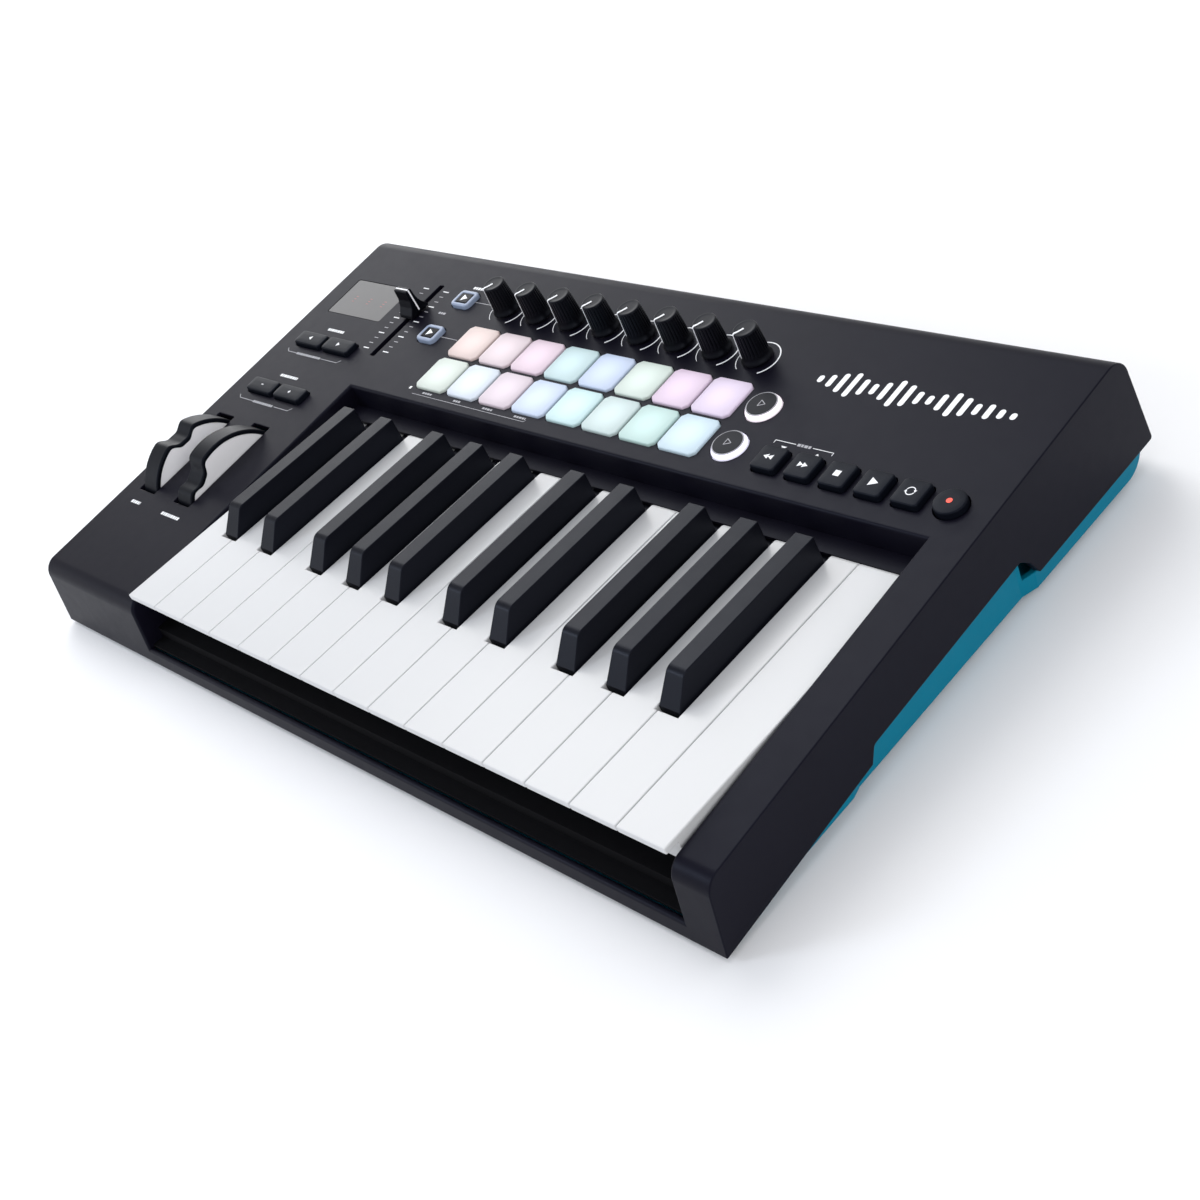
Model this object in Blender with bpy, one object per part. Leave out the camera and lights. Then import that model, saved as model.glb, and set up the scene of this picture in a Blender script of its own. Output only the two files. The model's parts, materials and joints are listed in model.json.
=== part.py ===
"""A 25-key desktop MIDI keyboard controller, built as an assembly of separate pieces.

Units are metres. +X is the player's right, +Y points to the rear, +Z is up, and the origin is
the middle of the footprint on the table. Positions on the sloping control panel are given as
(x, run, height): run is measured up the slope from the line of the key fronts, and height is
measured square to the panel.
"""
import math

import bmesh
import bpy
from mathutils import Matrix, Vector

MM = 0.001

# ---- Case -------------------------------------------------------------------------------
WIDTH = 457.0 * MM
DEPTH = 271.5 * MM
HALF_WIDTH = WIDTH / 2
FRONT_Y = -DEPTH / 2
# The rear foot before its corner is rounded, which takes REAR_ROUNDING off the depth.
REAR_ROUNDING = 0.3 * MM
REAR_Y = DEPTH / 2 + REAR_ROUNDING
REAR_FOOT_Z = 11.8 * MM
UNDERSIDE_Z = 2.2 * MM
FOOT_THICKNESS = 1.9 * MM
FOOT_SIZE = (320.0 * MM, 12.0 * MM)
FOOT_CORNER = 4.0 * MM
# Distance behind the key fronts of each rubber strip's middle.
FEET = {"front_foot": 18.0 * MM, "rear_foot": 222.0 * MM}
SIDE_WALL = 3.0 * MM
PANEL_THICKNESS = 2.5 * MM
FRONT_LEAN = 0.152
REAR_LEAN = 0.169
CLEARANCE = 0.3 * MM

# ---- Keys -------------------------------------------------------------------------------
KEY_PITCH = 23.5 * MM
KEY_GAP = 0.8 * MM
WHITE_COUNT = 15
KEYS_LEFT_X = -143.0 * MM
KEY_FRONT_Y = FRONT_Y + 7.6 * MM
KEY_TOP_Z = 40.0 * MM
WHITE_LENGTH = 140.0 * MM
WHITE_LIP = 3.0 * MM
WHITE_OVERHANG = 6.0 * MM
WHITE_DEPTH = 13.0 * MM
WHITE_WALL = 1.6 * MM
WHITE_TOP_THICKNESS = 2.6 * MM
BLACK_FRONT = 50.4 * MM
BLACK_REAR = 135.5 * MM
BLACK_HEIGHT = 11.5 * MM
BLACK_SETBACK = 9.2 * MM
NOTCH_GAP = 1.8 * MM
BLACK_BASE_WIDTH = 10.5 * MM
BLACK_TOP_WIDTH = 8.8 * MM
BLACK_DEPTH = 9.5 * MM
BLACK_SIDE_GAP = 0.6 * MM
TAIL_TOP = -5.0 * MM
TAIL_END = 171.0 * MM
TAIL_ROOF = 1.4 * MM
TAIL_BODY_END = 163.0 * MM
PIVOT_RUN = 166.0 * MM
PIVOT_DROP = 9.25 * MM
# Offset of each black key from the seam it stands over: C#, D#, F#, G#, A#.
BLACK_OFFSETS = {1: -3.2 * MM, 2: 3.2 * MM, 4: -4.2 * MM, 5: 0.0, 6: 4.2 * MM}
KEYS_PER_OCTAVE = 7

# ---- Control panel ----------------------------------------------------------------------
PANEL_TILT = math.radians(4.945)
PANEL_Z = KEY_TOP_Z - 4.55 * MM
BOARD_TOP = -8.0 * MM
BOARD_THICKNESS = 1.6 * MM
# Plan sizes of the parts on the control board, and the height of the switches' plungers.
POT_BODY = (10.0 * MM, 10.0 * MM)
FADER_BODY = (8.0 * MM, 62.0 * MM)
SWITCH_BODY = (6.0 * MM, 6.0 * MM)
SWITCH_TOP = -5.2 * MM

PAD_COLUMNS = 8
PAD_ROWS = 2
PAD_PITCH_X = 23.58 * MM
PAD_PITCH_RUN = 23.4 * MM
PAD_FIRST = (52.6 * MM, 172.0 * MM)
PAD_SIZE = (22.0 * MM, 21.2 * MM)
PAD_CHAMFER = 2.2 * MM
PAD_HEIGHT = 1.5 * MM
PAD_OPENING_GAP = 0.3 * MM
MAT_THICKNESS = 2.0 * MM
MAT_MARGIN = 2.0 * MM

KNOB_COUNT = 8
KNOB_PITCH = 23.55 * MM
KNOB_FIRST = (53.0 * MM, 221.0 * MM)
KNOB_SKIRT_RADIUS = 7.2 * MM
KNOB_TOP_RADIUS = 5.6 * MM
KNOB_HEIGHT = 16.8 * MM
SHAFT_RADIUS = 3.0 * MM
SHAFT_HOLE_RADIUS = 3.6 * MM
POT_TOP = -3.3 * MM
SHAFT_END = -3.0 * MM

FADER_SLOT_CENTRE = (-7.4 * MM, 201.5 * MM)
FADER_SLOT_SIZE = (3.6 * MM, 55.0 * MM)
FADER_RUN = 207.8 * MM
FADER_CAP_HALF_WIDTH = 5.1 * MM
# Side view of the fader cap: distance along the run and height above the panel, in millimetres.
FADER_CAP_SIDE = ((-6.4, 0.8), (6.4, 0.8), (5.8, 2.6), (3.4, 5.8), (2.1, 9.5), (1.8, 14.3),
                  (1.3, 15.0), (-1.3, 15.0), (-1.8, 14.3), (-2.1, 9.5), (-3.4, 5.8), (-5.8, 2.6))
FADER_STEM = (1.6 * MM, 5.0 * MM)

DISPLAY_CENTRE = (-49.5 * MM, 209.4 * MM)
DISPLAY_SIZE = (46.0 * MM, 26.6 * MM)
DISPLAY_THICKNESS = 1.2 * MM
DISPLAY_LEDGE = 1.2 * MM
DISPLAY_RECESS = 1.6 * MM

BUTTON_GAP = 0.5 * MM
BUTTON_FLANGE = 0.8 * MM
FLANGE_TOP = -3.0 * MM
FLANGE_BOTTOM = -3.8 * MM

# name: (x, run, width, length, corner, height above the panel)
RECT_BUTTONS = {
    "track_left_button": (-58.7, 173.7, 22.4, 8.8, 1.6, 2.8),
    "track_right_button": (-34.1, 173.7, 22.4, 8.8, 1.6, 2.8),
    "octave_down_button": (-58.7, 136.9, 22.4, 8.8, 1.6, 2.8),
    "octave_up_button": (-34.1, 136.9, 22.4, 8.8, 1.6, 2.8),
    "fader_button_upper": (19.3, 221.8, 13.2, 11.2, 2.6, 2.0),
    "fader_button_lower": (19.3, 195.2, 13.2, 11.2, 2.6, 2.0),
    "rewind_button": (265.9, 168.8, 12.6, 12.8, 1.6, 3.0),
    "forward_button": (283.35, 168.8, 12.6, 12.8, 1.6, 3.0),
    "stop_button": (300.8, 168.8, 12.6, 12.8, 1.6, 3.0),
    "play_button": (318.25, 168.8, 12.6, 12.8, 1.6, 3.0),
    "loop_button": (335.7, 168.8, 12.6, 12.8, 1.6, 3.0),
}
# name: (x, run, radius, height above the panel)
ROUND_BUTTONS = {
    "scene_button_upper": (241.3, 195.0, 8.0, 2.2),
    "scene_button_lower": (241.3, 171.4, 8.0, 2.2),
    "record_button": (353.1, 168.8, 6.6, 3.0),
}

# ---- Wheels -----------------------------------------------------------------------------
WHEEL_RADIUS = 32.0 * MM
WHEEL_DROP = 18.0 * MM
WHEEL_RUN = 85.5 * MM
WHEEL_WIDTH = 12.6 * MM
WHEEL_X = {"pitch_wheel": -66.8 * MM, "modulation_wheel": -33.9 * MM}
# Angle of each thumb notch from the top, and of the wheel's own middle, at rest.
WHEEL_NOTCH = {"pitch_wheel": 0.0, "modulation_wheel": -32.0}
WHEEL_MIDDLE = {"pitch_wheel": 0.0, "modulation_wheel": -30.0}
WHEEL_SWEEP = 91.0
WHEEL_NOTCH_DEPTH = 4.2 * MM
WHEEL_NOTCH_SPREAD = 11.0
HUB_RADIUS = 8.0 * MM
AXLE_RADIUS = 2.0 * MM
AXLE_BORE = 2.5 * MM
WHEEL_SLOT = (14.2 * MM, 58.0 * MM)

# ---- Key well in the top cover ------------------------------------------------------------
WELL_GAP = 0.8 * MM
RAIL_TOP = -30.5 * MM
WELL_BACK = 151.7 * MM
WELL_WALL = 2.8 * MM
SHELF_FRONT = 141.5 * MM
SHELF_TOP = -2.6 * MM
SHELF_UNDER = -4.2 * MM
FAR = 100.0 * MM

# ---- Rear sockets -------------------------------------------------------------------------
USB_X = 290.0 * MM
JACK_X = 318.0 * MM
LOCK_X = 345.0 * MM
SOCKET_Z = 28.0 * MM
USB_SHELL = (12.0 * MM, 11.0 * MM)
USB_MOUTH = (8.6 * MM, 7.9 * MM)
JACK_BODY = (13.0 * MM, 12.0 * MM)
JACK_BORE = 3.3 * MM
JACK_COLLAR = 4.4 * MM
JACK_HOLE = 5.0 * MM
LOCK_SLOT = (7.0 * MM, 3.2 * MM)
SOCKET_GAP = 0.5 * MM
# Distances behind the key fronts: the sockets' faces and the rear board's two edges.
SOCKET_FACE = 260.0 * MM
SOCKET_BOARD = (234.0 * MM, 256.0 * MM)

# x, distance behind the key fronts: screw bosses that hold the tray to the cover
BOSSES = ((-45.0, 20.0), (360.0, 92.0), (-70.0, 248.0), (120.0, 248.0), (230.0, 248.0),
          (356.0, 246.0))
BOSS_RADIUS = 3.0 * MM
PILOT_RADIUS = 1.2 * MM
SCREW_HOLE_RADIUS = 1.8 * MM
TRAY_WALL = 2.5 * MM
TRAY_FLOOR_TOP = UNDERSIDE_Z + TRAY_WALL
TRAY_REAR = 259.5 * MM
# Heights of the tray's walls: under the key rail, beside the keys and behind the side notch.
TRAY_FRONT_WALL = 8.4 * MM
TRAY_SIDE_WALL = 14.0 * MM
TRAY_NOTCH_WALL = 9.7 * MM


# ---- Frames of reference --------------------------------------------------------------------
def key_y(distance):
    """Y of a point a given distance behind the key fronts."""
    return KEY_FRONT_Y + distance


def key_z(height):
    """Z of a point a given height above the white key tops."""
    return KEY_TOP_Z + height


def panel_x(distance):
    """X of a point a given distance right of the first white key's left edge."""
    return KEYS_LEFT_X + distance


def panel_surface_z(distance):
    """Z of the panel surface a given distance behind the key fronts."""
    return PANEL_Z + distance * math.tan(PANEL_TILT)


def panel_matrix():
    """From (x, run, height) on the panel to the world."""
    return (Matrix.Translation((0.0, KEY_FRONT_Y, PANEL_Z))
            @ Matrix.Rotation(PANEL_TILT, 4, "X"))


# ---- Outlines -------------------------------------------------------------------------------
def rounded(points, radii, segments=4):
    """A polygon with the corners that have a radius turned into arcs."""
    outline = []
    count = len(points)
    for index in range(count):
        corner = Vector(points[index])
        radius = radii[index]
        if radius <= 0.0:
            outline.append(tuple(corner))
            continue
        before = (Vector(points[index - 1]) - corner).normalized()
        after = (Vector(points[(index + 1) % count]) - corner).normalized()
        half = before.angle(after) / 2
        centre = corner + (before + after).normalized() * (radius / math.sin(half))
        start = corner + before * (radius / math.tan(half)) - centre
        end = corner + after * (radius / math.tan(half)) - centre
        for step in range(segments + 1):
            part = step / segments
            spoke = (start * (1 - part) + end * part).normalized() * radius
            outline.append(tuple(centre + spoke))
    return outline


def rectangle(width, length, corner=0.0, segments=2):
    """A centred rectangle with rounded corners."""
    x = width / 2
    y = length / 2
    points = [(-x, -y), (x, -y), (x, y), (-x, y)]
    return rounded(points, [corner] * 4, segments)


def chamfered(width, length, cut):
    """A centred rectangle with its corners cut off."""
    x = width / 2
    y = length / 2
    return [(-x + cut, -y), (x - cut, -y), (x, -y + cut), (x, y - cut),
            (x - cut, y), (-x + cut, y), (-x, y - cut), (-x, -y + cut)]


def circle(radius, segments=16):
    """A regular polygon round the origin."""
    turn = 2 * math.pi / segments
    return [(radius * math.cos(turn * i), radius * math.sin(turn * i)) for i in range(segments)]


def leaning_wall_y(z, lean, foot):
    """Y where a leaning wall through foot reaches a height."""
    return foot[0] + lean * (z - foot[1])


def panel_crossing(foot, lean):
    """The (y, z) point where a leaning wall through foot meets the panel surface."""
    slope = math.tan(PANEL_TILT)
    z = (PANEL_Z + slope * (foot[0] - lean * foot[1] - KEY_FRONT_Y)) / (1 - slope * lean)
    return (leaning_wall_y(z, lean, foot), z)


def case_outline(segments=4):
    """The side view of the case, from the front foot over the top and back underneath."""
    front_foot = (FRONT_Y, UNDERSIDE_Z)
    rear_foot = (REAR_Y, REAR_FOOT_Z)
    front_top = panel_crossing(front_foot, FRONT_LEAN)
    rear_top = panel_crossing(rear_foot, -REAR_LEAN)
    under = [(key_y(183.8 * MM), key_z(-29.8 * MM)),
             (key_y(179.4 * MM), key_z(-21.6 * MM)),
             (key_y(174.7 * MM), key_z(-17.6 * MM)),
             (key_y(81.7 * MM), key_z(-22.7 * MM)),
             (key_y(78.1 * MM), key_z(-29.2 * MM))]
    points = [front_foot, front_top, rear_top, rear_foot] + under
    radii = [0.0, 8.0 * MM, 10.0 * MM, 1.5 * MM] + [0.0] * len(under)
    return rounded(points, radii, segments)


def cavity_outline(first_y):
    """The side view of the hollow inside the case, from first_y to the rear wall."""
    top = PANEL_THICKNESS / math.cos(PANEL_TILT)
    rear_foot = (REAR_Y - SIDE_WALL, REAR_FOOT_Z)
    rear_top = panel_crossing(rear_foot, -REAR_LEAN)
    rear_low = leaning_wall_y(-FAR, -REAR_LEAN, rear_foot)
    front_z = panel_surface_z(first_y - KEY_FRONT_Y) - top
    points = [(first_y, -FAR), (first_y, front_z), (rear_top[0], rear_top[1] - top),
              (rear_low, -FAR)]
    return rounded(points, [0.0, 0.0, 7.0 * MM, 0.0])


def cheek_cavity_outline():
    """The side view of the hollow inside a cheek, behind the leaning front wall."""
    top = PANEL_THICKNESS / math.cos(PANEL_TILT)
    front_foot = (FRONT_Y + SIDE_WALL + 0.4 * MM, UNDERSIDE_Z)
    front_top = panel_crossing(front_foot, FRONT_LEAN)
    rear_z = panel_surface_z(WELL_BACK + 5 * MM) - top
    rear_y = key_y(WELL_BACK + 5 * MM)
    points = [(front_foot[0], -FAR), front_foot, (front_top[0], front_top[1] - top),
              (rear_y, rear_z), (rear_y, -FAR)]
    return rounded(points, [0.0, 0.0, 5.5 * MM, 0.0, 0.0])


# ---- Solids ---------------------------------------------------------------------------------
def make_object(name, mesh):
    """Put a mesh into the scene."""
    piece = bpy.data.objects.new(name, mesh)
    bpy.context.scene.collection.objects.link(piece)
    return piece


def add_prism(bm, outline, low, high, axis="Z"):
    """Extrude an outline between two levels along an axis, as a closed body in bm."""
    order = {"X": lambda a, b, c: (c, a, b), "Z": lambda a, b, c: (a, b, c)}[axis]
    lower = [bm.verts.new(order(a, b, low)) for a, b in outline]
    upper = [bm.verts.new(order(a, b, high)) for a, b in outline]
    bm.faces.new(list(reversed(lower)))
    bm.faces.new(upper)
    count = len(outline)
    for index in range(count):
        following = (index + 1) % count
        bm.faces.new((lower[index], lower[following], upper[following], upper[index]))


def add_box(bm, low, high):
    """Add a closed box between two corners."""
    outline = [(low[0], low[1]), (high[0], low[1]), (high[0], high[1]), (low[0], high[1])]
    add_prism(bm, outline, low[2], high[2])


def add_turned(bm, profile, segments):
    """Turn a profile of (radius, height) about Z, with a point on the axis at each end."""
    bottom = bm.verts.new((0.0, 0.0, profile[0][1]))
    top = bm.verts.new((0.0, 0.0, profile[-1][1]))
    rings = []
    for radius, height in profile:
        rings.append([bm.verts.new((x, y, height)) for x, y in circle(radius, segments)])
    for index in range(segments):
        following = (index + 1) % segments
        bm.faces.new((bottom, rings[0][following], rings[0][index]))
        bm.faces.new((top, rings[-1][index], rings[-1][following]))
        for lower, upper in zip(rings, rings[1:]):
            bm.faces.new((lower[index], lower[following], upper[following], upper[index]))


def finish_mesh(bm, name, matrix=None):
    """Turn the faces outward, move the mesh and hand it over as an object."""
    if matrix is not None:
        bmesh.ops.transform(bm, matrix=matrix, verts=bm.verts)
    bmesh.ops.recalc_face_normals(bm, faces=bm.faces)
    mesh = bpy.data.meshes.new(name)
    bm.to_mesh(mesh)
    bm.free()
    return make_object(name, mesh)


def prism(name, outline, low, high, axis="Z", matrix=None):
    """One extruded piece."""
    bm = bmesh.new()
    add_prism(bm, outline, low, high, axis)
    return finish_mesh(bm, name, matrix)


def combine(piece, tool, operation):
    """Cut or join a tool into a piece and drop the tool."""
    modifier = piece.modifiers.new(operation.lower(), "BOOLEAN")
    modifier.operation = operation
    modifier.solver = "EXACT"
    modifier.object = tool
    depsgraph = bpy.context.evaluated_depsgraph_get()
    result = bpy.data.meshes.new_from_object(piece.evaluated_get(depsgraph))
    piece.modifiers.remove(modifier)
    previous = piece.data
    result.name = previous.name
    piece.data = result
    bpy.data.meshes.remove(previous)
    bpy.data.objects.remove(tool)


def material(name, colour, roughness, metallic=0.0):
    """A plain moulded or metal surface."""
    surface = bpy.data.materials.new(name)
    surface.use_nodes = True
    shader = surface.node_tree.nodes["Principled BSDF"]
    shader.inputs["Base Color"].default_value = (*colour, 1.0)
    shader.inputs["Roughness"].default_value = roughness
    shader.inputs["Metallic"].default_value = metallic
    surface.diffuse_color = (*colour, 1.0)
    return surface


def paint(piece, surface):
    """Give a piece its material, flat for moulded edges and smooth where it is round."""
    piece.data.materials.clear()
    piece.data.materials.append(surface)
    piece.data.shade_smooth()
    piece.data.set_sharp_from_angle(angle=math.radians(35))


# ---- Top cover ------------------------------------------------------------------------------
def well_limits():
    """Left and right walls of the key well."""
    left = KEYS_LEFT_X - WELL_GAP
    right = KEYS_LEFT_X + WHITE_COUNT * KEY_PITCH + WELL_GAP
    return left, right


def cut_key_well(cover):
    """Open the well for the keys, leave a low front rail and a shelf over the key tails."""
    left, right = well_limits()
    inner_front = FRONT_Y + SIDE_WALL + 0.9 * MM
    top = key_z(RAIL_TOP)
    above = [(FRONT_Y - FAR, FAR), (FRONT_Y - FAR, top), (inner_front, top),
             (inner_front, -FAR), (key_y(SHELF_FRONT), -FAR),
             (key_y(SHELF_FRONT), key_z(SHELF_TOP)),
             (key_y(WELL_BACK - 1.0 * MM), key_z(SHELF_TOP)),
             (key_y(WELL_BACK), panel_surface_z(WELL_BACK)),
             (key_y(WELL_BACK), FAR)]
    combine(cover, prism("well", above, left, right, "X"), "DIFFERENCE")
    tails = [(key_y(SHELF_FRONT) - MM, -FAR), (key_y(SHELF_FRONT) - MM, key_z(SHELF_UNDER)),
             (key_y(WELL_BACK + 5 * MM), key_z(SHELF_UNDER)),
             (key_y(WELL_BACK + 5 * MM), -FAR)]
    combine(cover, prism("tails", tails, left, right, "X"), "DIFFERENCE")


def hollow_cover(cover):
    """Hollow out both cheeks and the space behind the keys."""
    left, right = well_limits()
    outer = HALF_WIDTH - SIDE_WALL
    cheek = cheek_cavity_outline()
    rear = cavity_outline(key_y(WELL_BACK + WELL_WALL))
    combine(cover, prism("rear", rear, -outer, outer, "X"), "DIFFERENCE")
    combine(cover, prism("left", cheek, -outer, left - WELL_WALL, "X"), "DIFFERENCE")
    combine(cover, prism("right", cheek, right + WELL_WALL, outer, "X"), "DIFFERENCE")
    bm = bmesh.new()
    add_box(bm, (-outer, FRONT_Y + SIDE_WALL + 0.9 * MM, -FAR),
            (outer, key_y(WELL_BACK) + MM, key_z(RAIL_TOP) - 0.8 * MM))
    combine(cover, finish_mesh(bm, "tray_room"), "DIFFERENCE")


def pad_positions():
    """(x, run) of every pad's middle, lower row first."""
    for row in range(PAD_ROWS):
        for column in range(PAD_COLUMNS):
            yield (panel_x(PAD_FIRST[0] + column * PAD_PITCH_X),
                   PAD_FIRST[1] + row * PAD_PITCH_RUN)


def knob_positions():
    """(x, run) of every knob, from the left."""
    for index in range(KNOB_COUNT):
        yield (panel_x(KNOB_FIRST[0] + index * KNOB_PITCH), KNOB_FIRST[1])


def add_panel_prism(bm, outline, x, run, low=-12.0 * MM, high=12.0 * MM):
    """Add an extruded outline square to the panel, tall enough to cut through it."""
    add_prism(bm, [(x + a, run + b) for a, b in outline], low, high)


def pierce_panel(cover):
    """Cut every opening in the panel: pads, knobs, fader, display, buttons and wheels."""
    bm = bmesh.new()
    grow = 2 * PAD_OPENING_GAP
    opening = chamfered(PAD_SIZE[0] + grow, PAD_SIZE[1] + grow, PAD_CHAMFER)
    for x, run in pad_positions():
        add_panel_prism(bm, opening, x, run)
    for x, run in knob_positions():
        add_panel_prism(bm, circle(SHAFT_HOLE_RADIUS, 12), x, run)
    slot = rectangle(*FADER_SLOT_SIZE)
    add_panel_prism(bm, slot, panel_x(FADER_SLOT_CENTRE[0]), FADER_SLOT_CENTRE[1])
    for x, run, width, length, corner, _height in RECT_BUTTONS.values():
        hole = rectangle(width * MM + 2 * BUTTON_GAP, length * MM + 2 * BUTTON_GAP,
                         corner * MM + BUTTON_GAP)
        add_panel_prism(bm, hole, panel_x(x * MM), run * MM)
    for x, run, radius, _height in ROUND_BUTTONS.values():
        add_panel_prism(bm, circle(radius * MM + BUTTON_GAP, 20), panel_x(x * MM), run * MM)
    for x in WHEEL_X.values():
        add_panel_prism(bm, rectangle(*WHEEL_SLOT), panel_x(x), WHEEL_RUN)
    glass_x = panel_x(DISPLAY_CENTRE[0])
    ledge = 2 * DISPLAY_LEDGE
    window = rectangle(DISPLAY_SIZE[0] - ledge, DISPLAY_SIZE[1] - ledge)
    add_panel_prism(bm, window, glass_x, DISPLAY_CENTRE[1], high=-1.0 * MM)
    combine(cover, finish_mesh(bm, "holes", panel_matrix()), "DIFFERENCE")
    bm = bmesh.new()
    add_panel_prism(bm, rectangle(*DISPLAY_SIZE, 1.0 * MM), glass_x, DISPLAY_CENTRE[1],
                   low=-DISPLAY_RECESS)
    combine(cover, finish_mesh(bm, "recess", panel_matrix()), "DIFFERENCE")


def cut_rear_sockets(cover):
    """Open the rear wall for the USB and pedal sockets and the lock slot."""
    bm = bmesh.new()
    front = REAR_Y - 16 * MM
    back = REAR_Y + 10 * MM
    for x, size in ((USB_X, USB_SHELL), (LOCK_X, LOCK_SLOT)):
        middle = panel_x(x)
        half_x = size[0] / 2 + SOCKET_GAP
        half_z = size[1] / 2 + SOCKET_GAP
        add_box(bm, (middle - half_x, front, SOCKET_Z - half_z),
                (middle + half_x, back, SOCKET_Z + half_z))
    turn = Matrix.Translation((panel_x(JACK_X), 0.0, SOCKET_Z)) @ Matrix.Rotation(
        math.radians(90), 4, "X")
    combine(cover, finish_mesh(bm, "sockets"), "DIFFERENCE")
    hole = prism("jack", circle(JACK_HOLE, 16), -back, -front, "Z", turn)
    combine(cover, hole, "DIFFERENCE")


def add_bosses(cover):
    """Mould the screw bosses and the control board's standoffs under the panel."""
    bm = bmesh.new()
    for x, distance in BOSSES:
        top = panel_surface_z(distance * MM) - 1.2 * MM
        shift = [(panel_x(x * MM) + a, key_y(distance * MM) + b)
                 for a, b in circle(BOSS_RADIUS, 10)]
        add_prism(bm, shift, TRAY_FLOOR_TOP + CLEARANCE, top)
    combine(cover, finish_mesh(bm, "bosses"), "UNION")
    bm = bmesh.new()
    for x, run in standoff_positions():
        shift = [(x + a, run + b) for a, b in circle(2.5 * MM, 8)]
        add_prism(bm, shift, BOARD_TOP + CLEARANCE, -1.2 * MM)
    combine(cover, finish_mesh(bm, "standoffs", panel_matrix()), "UNION")
    bm = bmesh.new()
    for x, distance in BOSSES:
        shift = [(panel_x(x * MM) + a, key_y(distance * MM) + b)
                 for a, b in circle(PILOT_RADIUS, 6)]
        add_prism(bm, shift, -MM, TRAY_FLOOR_TOP + 10 * MM)
    combine(cover, finish_mesh(bm, "pilots"), "DIFFERENCE")


def standoff_positions():
    """(x, run) of the posts that carry the control board."""
    for x, run in ((-75.0, 128.0), (-75.0, 232.0), (28.0, 232.0), (236.0, 232.0),
                   (257.0, 232.0), (357.0, 232.0)):
        yield panel_x(x * MM), run * MM


def build_top_cover():
    """The black moulded top: panel, rear wall, front rail and both flat end cheeks."""
    cover = prism("top_cover", case_outline(), -HALF_WIDTH, HALF_WIDTH, "X")
    cut_key_well(cover)
    hollow_cover(cover)
    pierce_panel(cover)
    cut_rear_sockets(cover)
    add_bosses(cover)
    paint(cover, material("black_case", (0.035, 0.035, 0.045), 0.5))
    return cover


# ---- Bottom tray and feet ---------------------------------------------------------------------
def tray_outline(inset):
    """The tray's plan: three widths that step outward towards the rear."""
    front = KEY_FRONT_Y - 3.5 * MM + inset
    rear = key_y(TRAY_REAR) - inset
    steps = ((9.0 * MM, front), (9.0 * MM, key_y(74.0 * MM)), (5.0 * MM, key_y(80.0 * MM)),
             (5.0 * MM, key_y(176.0 * MM)), (2.4 * MM, key_y(183.0 * MM)), (2.4 * MM, rear))
    right = [(HALF_WIDTH - back - inset, y) for back, y in steps]
    left = [(-x, y) for x, y in reversed(right)]
    return right + left


def build_bottom_tray():
    """The coloured lower tray: floor, low walls, screw holes and a rounded rear edge."""
    wall_top = key_z(-14.0 * MM)
    tray = prism("bottom_tray", tray_outline(0.0), UNDERSIDE_Z, wall_top)
    hollow = prism("hollow", tray_outline(TRAY_WALL), TRAY_FLOOR_TOP, FAR)
    combine(tray, hollow, "DIFFERENCE")
    wide = 4 * FAR
    above = [(-FAR, TRAY_FRONT_WALL), (2.5 * MM, TRAY_FRONT_WALL), (2.5 * MM, TRAY_SIDE_WALL),
             (79.0 * MM, TRAY_SIDE_WALL), (79.0 * MM, 50.0 * MM), (178.0 * MM, 50.0 * MM),
             (178.0 * MM, TRAY_NOTCH_WALL), (TRAY_REAR, REAR_FOOT_Z - 0.5 * MM),
             (3 * FAR, REAR_FOOT_Z - 0.5 * MM), (3 * FAR, FAR), (-FAR, FAR)]
    outline = [(key_y(distance), z) for distance, z in above]
    combine(tray, prism("walls", outline, -wide, wide, "X"), "DIFFERENCE")
    lip = bmesh.new()
    lip_end = HALF_WIDTH - SIDE_WALL - MM
    add_box(lip, (-lip_end, key_y(TRAY_REAR) - TRAY_WALL, REAR_FOOT_Z - 2 * MM),
            (lip_end, key_y(TRAY_REAR) - CLEARANCE, REAR_FOOT_Z + 3 * MM))
    combine(tray, finish_mesh(lip, "lip"), "UNION")
    corner = key_y(TRAY_REAR)
    centre = (corner - 12 * MM, UNDERSIDE_Z + 12 * MM)
    sweep = [(centre[0] + 12 * MM * math.sin(a), centre[1] - 12 * MM * math.cos(a))
             for a in [math.radians(15 * i) for i in range(7)]]
    edge = [(centre[0], -MM), (corner + 5 * MM, -MM), (corner + 5 * MM, centre[1])]
    combine(tray, prism("edge", sweep + edge[::-1], -wide, wide, "X"), "DIFFERENCE")
    bm = bmesh.new()
    for x, distance in BOSSES:
        shift = [(panel_x(x * MM) + a, key_y(distance * MM) + b)
                 for a, b in circle(SCREW_HOLE_RADIUS, 8)]
        add_prism(bm, shift, -MM, TRAY_FLOOR_TOP + MM)
    combine(tray, finish_mesh(bm, "screws"), "DIFFERENCE")
    bm = bmesh.new()
    for x in (279.0, 331.0):
        shift = [(panel_x(x * MM) + a, key_y(238.0 * MM) + b) for a, b in circle(2.5 * MM, 8)]
        add_prism(bm, shift, TRAY_FLOOR_TOP - MM, socket_board_top() - BOARD_THICKNESS
                  - CLEARANCE)
    combine(tray, finish_mesh(bm, "posts"), "UNION")
    paint(tray, material("teal_tray", (0.0, 0.25, 0.39), 0.42))
    return tray


def build_feet():
    """Two long rubber strips under the tray."""
    rubber = material("foot_rubber", (0.02, 0.02, 0.022), 0.85)
    for name, distance in FEET.items():
        foot = prism(name, rectangle(*FOOT_SIZE, FOOT_CORNER), -FOOT_THICKNESS / 2,
                     FOOT_THICKNESS / 2)
        foot.location = (0.0, key_y(distance), FOOT_THICKNESS / 2)
        paint(foot, rubber)


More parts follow.
